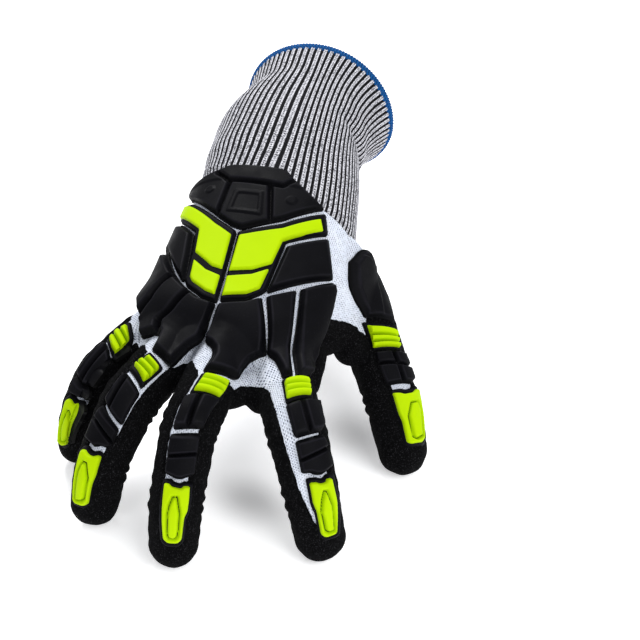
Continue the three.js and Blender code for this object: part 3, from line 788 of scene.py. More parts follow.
def blue_yarn():
    finish = Finish("blue_yarn", roughness=0.8, gloss=0.15)
    around, across = finish.thread()
    threads = finish.calc("MULTIPLY_ADD", across, 0.35, around)
    twist = finish.calc("SINE", finish.calc("MULTIPLY", threads, 2 * math.pi))
    clouds = finish.noise(3, 3)
    colour = finish.blend(clouds, tone(3, 60, 116), tone(8, 88, 152))
    gap = finish.ramp(twist, -1.0, -0.3, 0.75, 0.0)
    colour = finish.blend(gap, colour, tone(4, 26, 60))
    height = finish.calc("MULTIPLY_ADD", twist, 0.6, finish.noise(0.35, 3))
    return finish.done(colour, height, 0.14)


BLACK = black_rubber()
LIME = lime_rubber()
COAT = sandy_coat()
KNIT = white_knit()
RIB = rib_knit()
BLUE = blue_yarn()


# Guards on the back of the hand, as (u, y) outlines on its drum.
WRIST_PAD = [
    (-43, -13.5), (-21.7, -6.7), (-19.9, -5.3), (4.8, -5.3), (9, -9.4), (25, -20.2), (10.7, -32.4),
    (-5.4, -40.8), (-10, -39.8), (-17.8, -35), (-42, -16.7),
]
WRIST_GROOVES = [
    ([(-24, -10.5), (-17.8, -15.2), (6.3, -15.7), (10.4, -11)], 0.35),
    ([(-17, -15.5), (-17.6, -36)], 0.35),
    ([(1, -16), (6.4, -36)], 0.35),
]
WRIST_PLATE = [(-13.4, -20.6), (-0.6, -20.4), (2.2, -33.6), (-14.2, -33.8)]
WRIST_WELL = [(-11.6, -22.6), (-2, -22.4), (0, -31.8), (-12.2, -32)]
WRIST_STUDS = [(-25, -20.5), (11.8, -22.6)]
LITTLE_SIDE_PANEL = [
    (-50, -30), (-42.5, -31.8), (-26.6, -45.4), (-24.4, -57.9), (-22.6, -70.2), (-23.6, -72),
    (-28.6, -65.8), (-39.5, -50), (-50, -48),
]
THUMB_SIDE_PANEL = [(16.9, -45.6), (31.1, -34.8), (39, -51.7), (15.9, -70.8)]
OUTER_GUARD = [
    (-51, -49.6), (-40.2, -51.6), (-29.2, -67.6), (-24.2, -73), (-19.4, -77), (-12.6, -80.9),
    (-4.7, -82.4), (-6.1, -100), (-10, -104.3), (-12.3, -109.8), (-14.3, -115.2), (-24.6, -109.5),
    (-25, -100.2), (-30, -98.8), (-36.7, -99.6), (-40.5, -90.5), (-42.6, -83), (-49, -72),
]
OUTER_GROOVES = [
    ([(-24.6, -69), (-28.6, -71.8), (-31, -75), (-34.2, -82.4), (-41.5, -88.6)], 0.6),
    ([(-15.6, -77.5), (-18.2, -80), (-22.6, -86.4), (-27.4, -93.4), (-26.2, -102)], 0.6),
]
MIDDLE_KNUCKLE = [
    (-2.8, -82), (8.6, -78.8), (14.3, -74.7), (24.9, -99.1), (22.4, -100.2), (19.5, -103.5),
    (17.9, -108.3), (17, -113), (3.1, -118.3), (3.7, -109.5), (2.8, -105.6), (1, -103), (-3.1, -100.1),
]
INDEX_INNER = [
    (16.2, -73.4), (26.8, -65.9), (36.6, -108.6), (33.7, -110.9), (32.2, -107.1), (29.2, -101.8),
    (25.9, -99.2),
]
INDEX_OUTER = [
    (28.4, -64.7), (40.1, -52.6), (42.6, -56.5), (44.2, -68.6), (45, -80.4), (46.5, -89), (44.6, -101.7),
    (37.9, -108.1),
]

# The V on the back of the hand: each side's black bed and its two yellow inlays.
CHEVRONS = {
    "left": {
        "bed": [
            (-43, -18.8), (-42, -31), (-25.7, -44.5), (-23.3, -57.7), (-22.4, -71.2), (-20.4, -74.8),
            (-11.9, -79.9), (-4.4, -81.4), (-7.3, -42.8), (-17.4, -37),
        ],
        "upper": [
            (-42, -20.5), (-41.4, -29.6), (-23.8, -43.9), (-21.9, -57), (-12.2, -63.9), (-6.6, -65),
            (-8.2, -45.4), (-17, -40.2),
        ],
        "lower": [
            (-21.3, -60.4), (-20.2, -70.6), (-18.4, -73.2), (-11, -77.4), (-5.6, -78.8), (-6.5, -67.8),
            (-13.9, -65.6),
        ],
    },
    "right": {
        "bed": [
            (-6.1, -42.7), (11.3, -34.6), (26.4, -22.5), (30.3, -32.6), (15.5, -43.5), (14.9, -70.3),
            (13.7, -72.1), (8, -77.4), (-2.8, -80.2),
        ],
        "upper": [
            (-5.1, -45), (12.2, -37.3), (25.4, -26.5), (28.3, -32.6), (14.6, -44), (13.8, -57.2),
            (6.5, -62.3), (-3.8, -65),
        ],
        "lower": [
            (-3.9, -67.4), (6.7, -64.2), (12.8, -59.8), (13.5, -60.4), (12.8, -71), (8, -75.2),
            (-2.6, -78.4),
        ],
    },
}

# Pads along each finger, as (u, station) outlines on its back, and lines that part them.
FINGER_PADS = {
    "index": {
        "flex": [(-4.6, 26.9), (-0.9, 25.7), (3.3, 25.1), (7, 24.9), (7.8, 27), (6.4, 36.8), (-5.5, 39)],
        "ribs": [
            (-3.8, 28.6), (-1, 27.5), (2.3, 26.9), (5.3, 26.8), (5.8, 28.8), (4.9, 36.2), (-4.7, 37.9),
        ],
        "valleys": [[(-6, 31.8), (7, 30)], [(-6, 35), (7, 33)]],
        "root": [
            (-5.5, 39.7), (-3.2, 39.3), (5.3, 37.9), (9, 36.8), (8, 43.8), (7.8, 46.1), (5.6, 47.5),
            (-4.6, 48), (-5.3, 47.2),
        ],
        "root_lines": [[(0.4, 38), (0.5, 49)]],
        "middle": [
            (-5.3, 49.3), (5.5, 48.7), (6.9, 53), (7.4, 60.8), (5.2, 61.7), (1.4, 63.1), (-1.2, 62.5),
            (-2.4, 61.4), (-5.5, 61),
        ],
        "middle_lines": [[(-7, 56.2), (-3.9, 55.9), (3.5, 54), (8, 52.8)]],
        "tip": [
            (-4.7, 63.3), (-1, 63.6), (0.3, 64.3), (2.1, 64.5), (3.3, 63.6), (7.4, 63), (8, 73.8),
            (4.5, 86), (2.9, 86.9), (-2.2, 86.5), (-4.2, 84.2), (-4.1, 74.2), (-5, 71.3),
        ],
        "cap": [
            (-3.8, 64.8), (-1.5, 65), (-0.5, 65.7), (1.6, 65.9), (2.5, 64.9), (4.6, 64.9), (4.8, 72.2),
            (2.5, 83.6), (1.5, 84.5), (-2.1, 84.4), (-3.3, 82.6), (-3.3, 73.6), (-4, 70.9),
        ],
        "lozenge": [
            (0.3, 68.3), (1.3, 68.5), (2.2, 72.7), (1.9, 76.3), (1.3, 82.4), (-0.9, 82.1), (-1.6, 81.1),
            (-1.7, 76.7), (-1.9, 73.6), (-0.9, 70.5),
        ],
    },
    "middle": {
        "flex": [(-1.9, 30.4), (10.6, 26.4), (10, 38.6), (-2.9, 43)],
        "ribs": [(-0.6, 31.9), (8.6, 28.3), (8.7, 33), (8.4, 36), (7.8, 38.9), (-1.6, 42)],
        "valleys": [[(-2.6, 35.3), (10.6, 31.4)], [(-3, 39), (10.4, 34.8)]],
        "root": [(-3.9, 44.5), (-2.5, 43.6), (8.7, 39.6), (6.1, 50.9), (-4.6, 52.5)],
        "root_lines": [[(1.4, 41), (0.5, 53)]],
        "middle": [
            (-4.9, 54.2), (5.6, 52.6), (5.7, 56.7), (6.1, 67.1), (3.5, 68.5), (1.9, 69.6), (-0.1, 69.8),
            (-1.9, 69), (-4.4, 68.4),
        ],
        "middle_lines": [[(-6, 62), (-2.7, 61.5), (4.6, 59.2), (7, 58.4)]],
        "tip": [
            (-5, 70.8), (-1.7, 70.2), (-0.8, 71.2), (1.9, 71.5), (3, 70.4), (6.5, 70.4), (7.2, 76.8),
            (7, 80.4), (5.9, 82.4), (5.4, 91.7), (3.5, 93.9), (-1.2, 94), (-3.5, 92), (-4.8, 79.1),
        ],
        "cap": [
            (-3.6, 72.1), (-1.7, 71.9), (-0.9, 72.8), (2.2, 73), (2.9, 71.9), (5.1, 71.8), (5.6, 76.1),
            (5.6, 79.4), (4.7, 81.3), (4.2, 89.8), (2.9, 91.4), (-0.5, 91.4), (-2.1, 89.7), (-3.2, 78.5),
        ],
        "lozenge": [
            (0.1, 75.9), (1.4, 75.7), (2.2, 78.1), (2.8, 80), (2.8, 85.4), (2.5, 88.2), (1.7, 89.1),
            (0, 88.8), (-0.5, 87.8), (-0.9, 80.3), (-0.6, 78.1),
        ],
    },
    "ring": {
        "flex": [(-2.2, 27), (6.9, 30.4), (5.4, 42.8), (-4.5, 39), (-4.2, 33.4)],
        "ribs": [
            (-2.9, 37.2), (-2.6, 34.1), (-1.4, 31.4), (-0.7, 29.4), (5.3, 31.9), (5, 38), (4.2, 41.2),
        ],
        "valleys": [[(-4, 31.2), (7, 35.4)], [(-5, 34.1), (7, 38.8)]],
        "root": [(-4.1, 40.9), (5.8, 44.4), (5.2, 54.4), (-4.9, 49.4)],
        "root_lines": [[(-1.9, 40.5), (-1.9, 44), (-1.7, 53)]],
        "middle": [
            (-5.3, 50.9), (4.8, 56.8), (4.4, 64.5), (2.5, 65.1), (0.9, 65.2), (-1.1, 66.7), (-4.4, 65.8),
            (-6.6, 65.2), (-6.6, 56.7),
        ],
        "middle_lines": [[(-8, 55), (-3.6, 57), (2.2, 61), (5, 62.8)]],
        "tip": [
            (-7.4, 70), (-6.4, 68.3), (-4.2, 67.6), (-2.5, 68.5), (-0.8, 68.6), (1.1, 67.4), (3.2, 68),
            (3.8, 75.4), (3.2, 78.1), (2.8, 87.4), (0.9, 90), (-4, 90.6), (-5.6, 88.4), (-6.6, 77.9),
        ],
        "cap": [
            (-5.6, 70.4), (-5.2, 69.3), (-3.4, 69), (-2, 69.8), (0, 69.9), (1.5, 68.7), (2.8, 69),
            (3.1, 75), (2.6, 77.5), (2.4, 86), (1.1, 87.8), (-2.5, 88.4), (-3.9, 87), (-5.1, 75.5),
        ],
        "lozenge": [
            (-2.8, 72.6), (-1.3, 72.6), (0.7, 76.3), (0.8, 83.8), (0, 85.2), (-2.1, 86.2), (-2.6, 85.1),
            (-3.3, 75.6),
        ],
    },
    "little": {
        "flex": [
            (-3.4, 14.4), (-2, 13.6), (4.7, 18.6), (7, 25.2), (6.4, 32), (1.4, 29.9), (-3.4, 27.3),
            (-4, 21),
        ],
        "ribs": [
            (-2.4, 26.2), (-2.9, 21.3), (-1.6, 15.9), (3.6, 20.5), (5.7, 25.5), (5.2, 30.2), (1.3, 28.8),
        ],
        "valleys": [[(-4.4, 18.6), (7, 23.9)], [(-4.6, 22.2), (7.6, 27.9)]],
        "root": [
            (-2.8, 28.3), (1.5, 30.6), (6, 33.2), (5.6, 40.5), (1.6, 41.8), (-3.5, 40.4), (-3.6, 34),
        ],
        "root_lines": [[(0, 29), (0.1, 32.1), (0.4, 42.5)]],
        "middle": [
            (-3.7, 41.1), (1.6, 42.6), (5.2, 41.9), (5.8, 42.7), (5, 46.2), (1.4, 47.2), (-3.3, 48),
            (-3.9, 44.3),
        ],
        "tip": [
            (-4.2, 51.4), (-2.4, 48.5), (0.4, 48.2), (1.5, 49), (5.8, 47.2), (6.2, 48), (6.1, 53.4),
            (5.7, 58.2), (5, 66.6), (2.2, 72), (-3.4, 71.4), (-3.4, 66), (-3.4, 58.2),
        ],
        "cap": [
            (-2.2, 51.2), (-0.9, 49.5), (0.7, 49.5), (1.5, 50.4), (5.2, 48.9), (5.5, 53.1), (5, 58),
            (4.7, 62), (4.1, 66.2), (1.3, 69.6), (-1.6, 69), (-1.7, 65.6), (-1.8, 56.2),
        ],
        "lozenge": [
            (0.4, 54.1), (1.1, 53.8), (3.4, 57.2), (3.6, 62.4), (2, 66), (0.4, 66.6), (-0.1, 59.7),
        ],
    },
    "thumb": {
        "flex": [(-9.2, 47.6), (4.6, 52), (6.4, 53.2), (5.2, 64.2), (-8.9, 61.9)],
        "ribs": [(-8.8, 49.4), (2.7, 53.5), (4.6, 54.6), (3.6, 62.8), (-8.2, 60.7)],
        "valleys": [[(-11, 53.5), (6, 58.2)], [(-11, 57.2), (6, 60.8)]],
        "root": [
            (-8, 62.5), (5.8, 65.1), (6.6, 71), (6.9, 78), (4.8, 79.2), (-4.5, 78.9), (-7.4, 78.7),
            (-7.9, 69.8),
        ],
        "root_lines": [
            [(-0.7, 63), (-0.7, 66), (-0.4, 70.5), (-0.3, 81)],
            [(-9, 68.2), (-7.6, 68.6), (3.1, 71.1), (9, 72.2)],
        ],
        "tip": [
            (-6.9, 81.6), (-1.9, 81.7), (0, 82.4), (3.7, 81.6), (6, 79.8), (8.2, 80), (8.2, 93),
            (7.2, 104), (4.6, 107.6), (-2.4, 108.8), (-5.2, 107.2), (-5.4, 97.2), (-6.5, 92.7),
        ],
        "cap": [
            (-6, 83.3), (-2.8, 83.8), (-1.5, 84.6), (2.3, 84), (4.8, 82.2), (6.8, 81.8), (6, 94.5),
            (4.2, 104.8), (2.4, 106.8), (-2.6, 107.4), (-4.2, 106.4), (-4.4, 97.4), (-5.3, 93),
        ],
        "lozenge": [
            (0.4, 88.8), (3.4, 88), (4.4, 91.7), (2.9, 103.6), (-0.1, 105.3), (-1.4, 104.5), (-1.5, 100),
            (-1.7, 95.1),
        ],
    },
}
THUMB_GUARD = [
    (0, 16), (3.6, 16.4), (9.6, 27), (10.2, 38), (6.8, 50.2), (-7.6, 45.6), (-8.8, 38.7), (-9, 32.8),
    (-8.4, 28.8), (-6.8, 21.7), (-2.5, 17.4),
]
THUMB_PLATE = [
    (-2.1, 18.6), (0.8, 19.2), (4.5, 23.1), (3.4, 35.6), (0.6, 47.4), (-7, 43.4), (-7.8, 32.6),
    (-6.4, 23.3),
]

# Where the dipped coat stops. Over the wrist and the back of the hand it stops at outlines seen
# along z, above a level. Along each finger it leaves a strip, as (station, u from, u to).
COAT_WRIST = [
    (-70, -14), (-35, -14), (-31, 0), (-20, 11), (0, 15), (20, 9), (31, -6), (36, -24), (70, -24),
    (70, 150), (-70, 150),
]
COAT_BACK = [
    (-16, [
        (-70, 20), (-70, -78), (-46, -82), (-44, -88), (-34, -103), (-28, -103), (-28, -84), (39, -84),
        (38.6, -71), (41.4, -68.1), (44.9, -64.7), (48.9, -60.8), (52, -58.8), (55.4, -58.4), (53.4, -53),
        (53.4, -48.5), (58, -47.5), (75, -44), (75, 20),
    ]),
    (2, [
        (-70, -78), (-46, -82), (-44, -88), (-39.8, -96.2), (-41, -103), (-38.2, -100.6), (-34.8, -100.4),
        (-30, -104), (-26.1, -110), (-22, -112), (-14.3, -113.4), (-12.7, -110.8), (-10.8, -108.8),
        (-8.2, -108.3), (-5.5, -110), (-3.6, -113.1), (-0.8, -116.8), (4, -119), (10, -119),
        (13.7, -116.9), (15.6, -113.9), (20, -112.4), (24.9, -112.8), (29.5, -115.8), (31.8, -118.8),
        (38, -116), (41, -102), (40, -83),
    ]),
]
COAT_STRIPS = [
    ("index", [
        (12, -13, 8), (29, -11, 5.4), (47, -10.4, 5.4), (66, -8.4, 5), (74, -6, 4.4), (79, -4.4, 3),
    ]),
    ("middle", [
        (12, -9, 9), (26, -5, 8), (31, -3.4, 6), (41, -4.2, 5.4), (48, -5.8, 5.4), (56, -6.4, 5),
        (62, -6.1, 5), (67, -4.8, 4.6), (71.5, -4.6, 4.6),
    ]),
    ("ring", [
        (12, -5, 10), (29, -4, 8), (43, -4.4, 6.8), (55, -4.8, 5.8), (62, -5, 4.6), (65, -5, 3),
        (69.5, -5, 3),
    ]),
    ("little", [(10, -5, 8), (20, -4, 6), (28, -4, 6.4), (31.4, -4.4, 6)]),
    ("little", [(46.4, 0.6, 6), (49.4, 0.6, 6)]),
    ("thumb", [
        (2, -30, 14), (29, -27, 13), (38, -25, 4), (42, -22, -5), (47, -14, -7.4), (53.6, -9.4, -8.4),
    ]),
    ("thumb", [(78.4, -5.4, 5.6), (82.4, -5.4, 5.6)]),
]


def black_pad(name, cover, outline, top, bevel, **choices):
    pad(name, cover, outline, BLACK, "black_rubber", top, bevel, **choices)


def lime_pad(name, cover, outline, top, bevel, **choices):
    pad(name, cover, outline, LIME, "lime_rubber", top, bevel, rim=0, **choices)


def raised(outline, rise, slope):
    """A plate that stands proud of a pad, with sloping sides."""
    ring = rounded(outline, 1.0)
    return lambda u, v, depth: rise * smoothstep(0, slope, outline_depth(u, v, ring))


def make_wrist_pad():
    plate = raised(WRIST_PLATE, 0.5, 0.6)
    well = raised(WRIST_WELL, -0.5, 0.5)

    def relief(u, v, depth):
        studs = sum(0.5 * smoothstep(2.4, 1.8, np.hypot(u - a, v - b)) for a, b in WRIST_STUDS)
        bar = 0.5 * smoothstep(-15.6, -14.2, v) * smoothstep(0.4, 2, depth)
        return plate(u, v, depth) + well(u, v, depth) + studs + bar

    black_pad("wrist_pad", "hand", WRIST_PAD, 3.3, 1.3, grooves=WRIST_GROOVES, spread=0.4, shape=relief)


# Guards with no relief of their own: outline, top, bevel, spread and grooves.
PLAIN_GUARDS = {
    "little_side_panel": (LITTLE_SIDE_PANEL, 3.6, 1.6, 0.3, ()),
    "thumb_side_panel": (THUMB_SIDE_PANEL, 3.6, 1.4, 0.45, ()),
    "outer_knuckle_guard": (OUTER_GUARD, 4.8, 1.5, 0.4, OUTER_GROOVES),
    "middle_knuckle_guard": (MIDDLE_KNUCKLE, 4.6, 1.8, 0.45, ()),
    "index_inner_guard": (INDEX_INNER, 4.4, 1.4, 0.12, ()),
    "index_outer_guard": (INDEX_OUTER, 4.4, 1.5, 0.12, ()),
}


def make_hand_guards():
    make_wrist_pad()
    for name, (outline, top, bevel, spread, grooves) in PLAIN_GUARDS.items():
        black_pad(name, "hand", outline, top, bevel, spread=spread, grooves=grooves)
    for side, parts in CHEVRONS.items():
        black_pad(f"{side}_chevron_base", "hand", parts["bed"], 2.4, 0.9, rim=0.4, spread=0.25)
        for half in ("upper", "lower"):
            lime_pad(f"{side}_chevron_{half}", "hand", parts[half], 3.5, 1.2, floor=2, base=1.5)


def lines(paths, half):
    """Grooves of one width along several paths."""
    return [(path, half) for path in paths]


# The rim of a finger's black pads, and the finer triangles of its yellow ribs and caps.
FINGER_RIM = 0.3
FINE_PITCH = 0.3


def make_finger_guards():
    for name, pads in FINGER_PADS.items():
        black_pad(f"{name}_flex_base", name, pads["flex"], 1.9, 0.6, rim=FINGER_RIM)
        valleys = lines(pads["valleys"], 0.12)
        lime_pad(f"{name}_flex_ribs", name, pads["ribs"], 4.2, 1.0, floor=1.9, base=1.2, grooves=valleys,
                 pitch=FINE_PITCH)
        parting = lines(pads["root_lines"], 0.25)
        black_pad(f"{name}_root_pad", name, pads["root"], 3.5, 1, rim=FINGER_RIM, spread=0.3,
                  grooves=parting)
        if "middle" in pads:
            parting = lines(pads.get("middle_lines", []), 0.1)
            black_pad(f"{name}_middle_pad", name, pads["middle"], 3.5, 1, rim=FINGER_RIM, spread=0.3,
                      grooves=parting)
        black_pad(f"{name}_tip_base", name, pads["tip"], 2.3, 0.8, rim=FINGER_RIM)
        ring = [*pads["lozenge"], pads["lozenge"][0]]
        lozenge = raised(pads["lozenge"], 0.3, 0.3)
        lime_pad(f"{name}_tip_cap", name, pads["cap"], 3.7, 0.9, floor=2, base=1.4, grooves=[(ring, 0.05)],
                 shape=lozenge, pitch=FINE_PITCH)


def make_thumb_guard():
    plate = raised(THUMB_PLATE, 0.9, 0.8)
    black_pad("thumb_back_guard", "thumb", THUMB_GUARD, 2.9, 1.4, rim=0.4, shape=plate)


def finger_places(finger, points):
    """Where points lie on a finger: round its back, along it, and how far from its middle line."""
    stations = finger.stations
    near = np.argmin((finger.places**2).sum(1) - 2 * points @ finger.places.T, axis=1)
    away = points - finger.places[near]
    s = stations[near] + (away * finger.alongs[near]).sum(1)
    angle = np.arctan2((away * finger.sides[near]).sum(1), (away * finger.backs[near]).sum(1))
    away = away - (away * finger.alongs[near]).sum(1)[:, None] * finger.alongs[near]
    return angle * finger.radius(s), s, np.linalg.norm(away, axis=1)


def coat_field(points):
    """How far inside the dipped coat each point of the skin lies, negative where the knit shows."""
    x, y, z = points.T
    field = -outline_depth(x, y, COAT_WRIST)
    for level, outline in COAT_BACK:
        field = np.minimum(field, -np.minimum(outline_depth(x, y, outline), z - level))
    for name, rows in COAT_STRIPS:
        finger = FINGER[name]
        u, s, away = finger_places(finger, points)
        station, left, right = np.array(rows, float).T
        inside = np.minimum(u - np.interp(s, station, left), np.interp(s, station, right) - u)
        inside = np.minimum(inside, np.minimum(s - station[0], station[-1] - s))
        inside = np.where(away < finger.radius(s) * 1.35 + 1, inside, -50)
        field = np.minimum(field, -inside)
    return field


def layer(points, normals, low, high):
    """The two sides of a cloth that lies between two heights over the skin, the upper side first."""
    return np.vstack([points + normals * np.asarray(height)[..., None] for height in (high, low)])


PUCKER_HEIGHT = 0.55
PUCKER_PITCH = 5.5


def puckers(points):
    """How far the coat swells between the small creases on the palm side of each finger joint."""
    swell = np.array([0.45 * noise.noise(Vector(p) / 5) for p in points])
    for finger in FINGER.values():
        u, s, away = finger_places(finger, points)
        radius = finger.radius(s)
        under = smoothstep(0.8, 1.8, np.abs(u) / radius) * (away < radius * 1.35 + 1)
        for joint in finger.knots[1:3]:
            near = np.exp(-(((s - joint) / 8) ** 2))
            wave = 0.5 + np.cos((s - joint) * 2 * math.pi / PUCKER_PITCH + math.pi)
            swell = swell + PUCKER_HEIGHT * under * near * wave
    return swell


def make_coat():
    jitter = np.array([noise.noise(Vector(p) / 2.2) for p in SKIN])
    field = coat_field(SKIN) + 0.4 * jitter
    faces, points, normals, field = clipped(SKIN_FACES, field, SKIN, SKIN_NORMALS, field)
    high = 0.25 + np.maximum(COAT_WALL + puckers(points), 0.2) * smoothstep(-0.2, 1.6, field)
    both = layer(points, normals, 0.05, high)
    shell = shell_faces(faces, len(points))
    finished("palm_coating", both, shell, COAT, ["palm_coating"])


def thread_corners(points, faces):
    """Thread coordinates in millimetres at each corner: along the fingers, elsewhere round the hand."""
    x, y, z = points.T
    places = np.stack([DRUM * np.arctan2(x, z + DRUM_DROP), y], 1)[faces]
    middle = points[faces].mean(1)
    for finger in FINGER.values():
        u, s, away = finger_places(finger, middle)
        chosen = (s > finger.root + 4) & (away < finger.radius(s) * 1.3)
        corners = points[faces[chosen]].reshape(-1, 3)
        across, along, _ = finger_places(finger, corners)
        across = across.reshape(-1, 3)
        turn = 2 * math.pi * finger.radius(s[chosen])[:, None]
        across = across - turn * np.round((across - u[chosen][:, None]) / turn)
        places[chosen] = np.stack([across, -along.reshape(-1, 3)], -1)
    return places


def make_liner():
    field = SEAM_PLACE - SEAM_SLANT * SKIN[:, 0] - SKIN[:, 1]
    faces, points, normals = clipped(SKIN_FACES, field, SKIN, SKIN_NORMALS)
    shell = shell_faces(faces, len(points))
    corners = thread_corners(points, faces)
    rim = [points[i % len(points)][:2] for f in shell[2 * len(faces):] for i in f]
    flat = np.concatenate([corners.reshape(-1, 2), corners[:, ::-1].reshape(-1, 2), np.array(rim)])
    both = layer(points, normals, -KNIT_WALL, 0.0)
    stalls = [f"{name}_stall" for name in FINGERS]
    nodes = ["hand_back_liner", "hand_palm_liner", "knuckle_palm_liner", *stalls]
    finished("knitted_hand", both, shell, KNIT, nodes, corners=flat)


# How high the cuff's skin stands at the points round one rib, from a valley on.
RIB_PROFILE = [0, 0.72, 1, 1.04, 1, 0.72]
HEM_THREADS = 150
HEM_STEPS = 7


def cuff_swell(along, angle):
    """The soft folds of the cuff: on the thumb side, before the mouth on the other, and all round."""
    thumb = np.exp(-((np.angle(np.exp(1j * angle)) / 0.9) ** 2))
    fold = 0.9 * np.exp(-(((along - 50) / 5) ** 2)) - 1.8 * np.exp(-(((along - 41) / 3) ** 2))
    little = np.exp(-((np.angle(np.exp(1j * (angle - math.pi))) / 0.9) ** 2))
    lip = -2.2 * np.exp(-(((along - 65) / 5) ** 2))
    wave = 0.5 * np.sin(along / 9 + 3 * angle)
    return thumb * fold + little * lip + wave


def closed_tube(name, rings, step, lengths, material):
    """A tube of rings whose last ring joins its first, with its thread coordinates: one step for each
    point round, and a length for each ring."""
    rows, columns = rings.shape[:2]
    i, j = np.meshgrid(np.arange(rows), np.arange(columns), indexing="ij")
    below, right = (i + 1) % rows, (j + 1) % columns
    faces = [i * columns + j, i * columns + right, below * columns + right, below * columns + j]
    faces = np.stack(faces, -1).reshape(-1, 4).tolist()
    near, far = lengths[i], lengths[i + 1]
    corners = [(j * step, near), ((j + 1) * step, near), ((j + 1) * step, far), (j * step, far)]
    corners = np.stack([np.stack(pair, -1) for pair in corners], -2).reshape(-1, 2)
    finished(name, rings.reshape(-1, 3), faces, material, [name], corners=corners)


def make_cuff():
    columns = RIB_COUNT * len(RIB_PROFILE)
    angles = np.linspace(0, 2 * math.pi, columns, endpoint=False)
    profile = np.tile(RIB_PROFILE, RIB_COUNT) * RIB_HEIGHT
    outside = np.linspace(MOUTH - 1.5, SEAM_PLACE - 1.2, 110)
    inside = np.linspace(SEAM_PLACE - 1.2, MOUTH - 1.5, 40)
    alongs = np.concatenate([outside, inside])[:, None]
    ends = smoothstep(SEAM_PLACE - 1.4, SEAM_PLACE + 2.5, alongs)
    free = smoothstep(-4, 12, alongs)
    swell = cuff_swell(alongs, angles) * free * smoothstep(MOUTH, MOUTH - 12, alongs)
    grow = 0.1 + profile * ends + swell
    grow[len(outside):] = swell[len(outside):] - CUFF_WALL
    lengths = np.append(alongs[:, 0], alongs[0, 0])
    rings = sleeve_point(alongs, angles, grow)
    closed_tube("rib_cuff", rings, 1 / len(RIB_PROFILE), lengths, RIB)


def make_hem():
    angles = np.linspace(0, 2 * math.pi, HEM_THREADS * HEM_STEPS, endpoint=False)
    turn = np.linspace(0, 2 * math.pi, 18, endpoint=False)[:, None]
    half = HEM_WIDTH / 2
    along = MOUTH - half + 0.6 + half * np.sign(np.cos(turn)) * np.abs(np.cos(turn)) ** 0.7
    reach = -0.4 + 1.9 * np.sign(np.sin(turn)) * np.abs(np.sin(turn)) ** 0.8
    ridges = 0.22 * np.sin(HEM_THREADS * angles + 2.4 * np.cos(turn))
    rings = sleeve_point(along, angles, reach + ridges)
    closed_tube("cuff_hem", rings, 1 / HEM_STEPS, np.arange(len(turn) + 1.0), BLUE)


# The tab under the mouth, as an outline across it and along it from the mouth: a fan on the cuff, a
# neck and a pull. Then its place across the cuff, its fall in degrees and the curve of its fan.
TAB = [
    (-6.5, 1), (-6.5, -2), (-18.5, -7.6), (-11, -17), (11, -17), (18.5, -7.6), (6.5, -2), (6.5, 1),
    (8.5, 14.3), (5, 26), (-5, 26), (-8.5, 14.3),
]
TAB_RIGHT = -6.0
TAB_SLOPE = 26
TAB_RADIUS = 38


def tab_point(u, v, height):
    """A place on the palm side of the cuff: across it, along it past the mouth, and out from it."""
    row = dict(zip(SLEEVE_COLUMNS, SLEEVE[0]))
    on_cuff = np.minimum(v, 0)
    angle = -math.pi / 2 + u / TAB_RADIUS + (TAB_RIGHT - row["right"]) / TAB_RADIUS
    point = sleeve_point(MOUTH + on_cuff, angle, 1.4 + height)
    past = np.maximum(v, 0)
    slope = math.radians(TAB_SLOPE)
    return point + past[..., None] * np.array([0, math.cos(slope), -math.sin(slope)])


def make_tab():
    outline = rounded(TAB, 2.0)
    faces, places = patch(outline, 0.5, 0.0)
    u, v = places.T
    depth = outline_depth(u, v, outline)
    rim = 0.9 * smoothstep(0, 0.6, depth) * smoothstep(2.6, 2.0, depth)
    height = 1.2 + 0.6 * eased(depth / 0.9) + rim
    points = np.vstack([tab_point(u, v, height), tab_point(u, v, -0.2)])
    shell = shell_faces(faces, len(u))
    values = {"edge": np.concatenate([depth, depth * 0 - 1])}
    finished("pull_tab", points, shell, BLACK, ["pull_tab"], values)


# The floor's corners in metres, and the share of its colour that it gives off by itself.
FLOOR_CORNERS = [(-4, -3), (4, -3), (4, 6), (-4, 6)]
FLOOR_GLOW = 0.45

# Painted shadows on the floor beside the fingertips: place, half length, half width, turn and depth.
FLOOR_PAINTED_SHADOWS = [(-14, -119, 30, 20, 140, 0.44), (32, -73, 34, 24, 132, 0.44)]


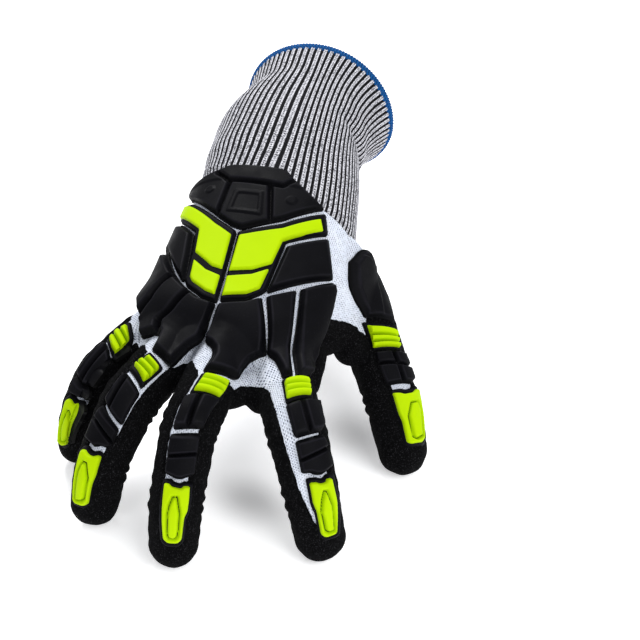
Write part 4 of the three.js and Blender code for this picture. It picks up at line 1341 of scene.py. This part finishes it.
def make_floor():
    mesh = plain_mesh("floor", [(x, y, FLOOR_LEVEL * MM) for x, y in FLOOR_CORNERS], [(0, 1, 2, 3)])
    finish = Finish("white_floor", roughness=0.95, gloss=0.0)
    colour = finish.blend(finish.noise(60, 3), tone(252, 252, 253), tone(255, 255, 255))
    # Each painted shadow is a soft dark oval mixed into the floor's colour, which darkens its glow too.
    for x, y, length, width, turn, depth in FLOOR_PAINTED_SHADOWS:
        place = finish.node("ShaderNodeMapping", vector_type="TEXTURE")
        finish.put(place.inputs[0], finish.node("ShaderNodeTexCoord").outputs["Object"])
        place.inputs[1].default_value = (x * MM, y * MM, 0)
        place.inputs[2].default_value = (0, 0, math.radians(turn))
        place.inputs[3].default_value = (length * MM, width * MM, 1)
        flat = finish.node("ShaderNodeVectorMath", (place.outputs[0], (1, 1, 0)), operation="MULTIPLY")
        reach = finish.node("ShaderNodeVectorMath", (flat.outputs[0],), operation="LENGTH").outputs["Value"]
        colour = finish.blend(finish.ramp(reach, 0, 1, depth, 0), colour, tone(4, 4, 8))
    finish.put(finish.shader.inputs["Emission Color"], colour)
    finish.shader.inputs["Emission Strength"].default_value = FLOOR_GLOW
    mesh.materials.append(finish.done(colour, finish.noise(3, 2), 0.02))
    placed("floor", mesh)


# The even light from all round, and the soft lights: name, place in metres, size and power.
WORLD_LIGHT = 0.66
SOFT_LIGHTS = [("key", (-0.3, 0.7, 1.0), 0.5, 14), ("fill", (0.55, -0.8, 0.7), 0.7, 7.5)]


def soft_light(name, at, size, power):
    lamp = bpy.data.lights.new(name, "AREA")
    lamp.shape = "DISK"
    lamp.size = size
    lamp.energy = power
    obj = placed(name, lamp)
    obj.location = at
    obj.rotation_euler = (-Vector(at)).to_track_quat("-Z", "Y").to_euler()


def light_scene():
    world = bpy.data.worlds.new("world")
    world.use_nodes = True
    sky = world.node_tree.nodes["Background"].inputs
    sky["Color"].default_value = (0.97, 0.98, 1.0, 1)
    sky["Strength"].default_value = WORLD_LIGHT
    bpy.context.scene.world = world
    for light in SOFT_LIGHTS:
        soft_light(*light)
    bpy.context.scene.view_settings.view_transform = "Standard"


def place_camera():
    lens = bpy.data.cameras.new("camera")
    lens.sensor_width = 36
    lens.lens = CAMERA_FOCAL * lens.sensor_width
    camera = placed("camera", lens)
    camera.location = Vector(CAMERA_AT) * MM
    camera.rotation_euler = (math.radians(90 - CAMERA_DROP), 0, 0)
    bpy.context.scene.camera = camera


place_camera()
light_scene()
make_floor()
make_liner()
make_coat()
make_cuff()
make_hem()
make_tab()
make_hand_guards()
make_finger_guards()
make_thumb_guard()
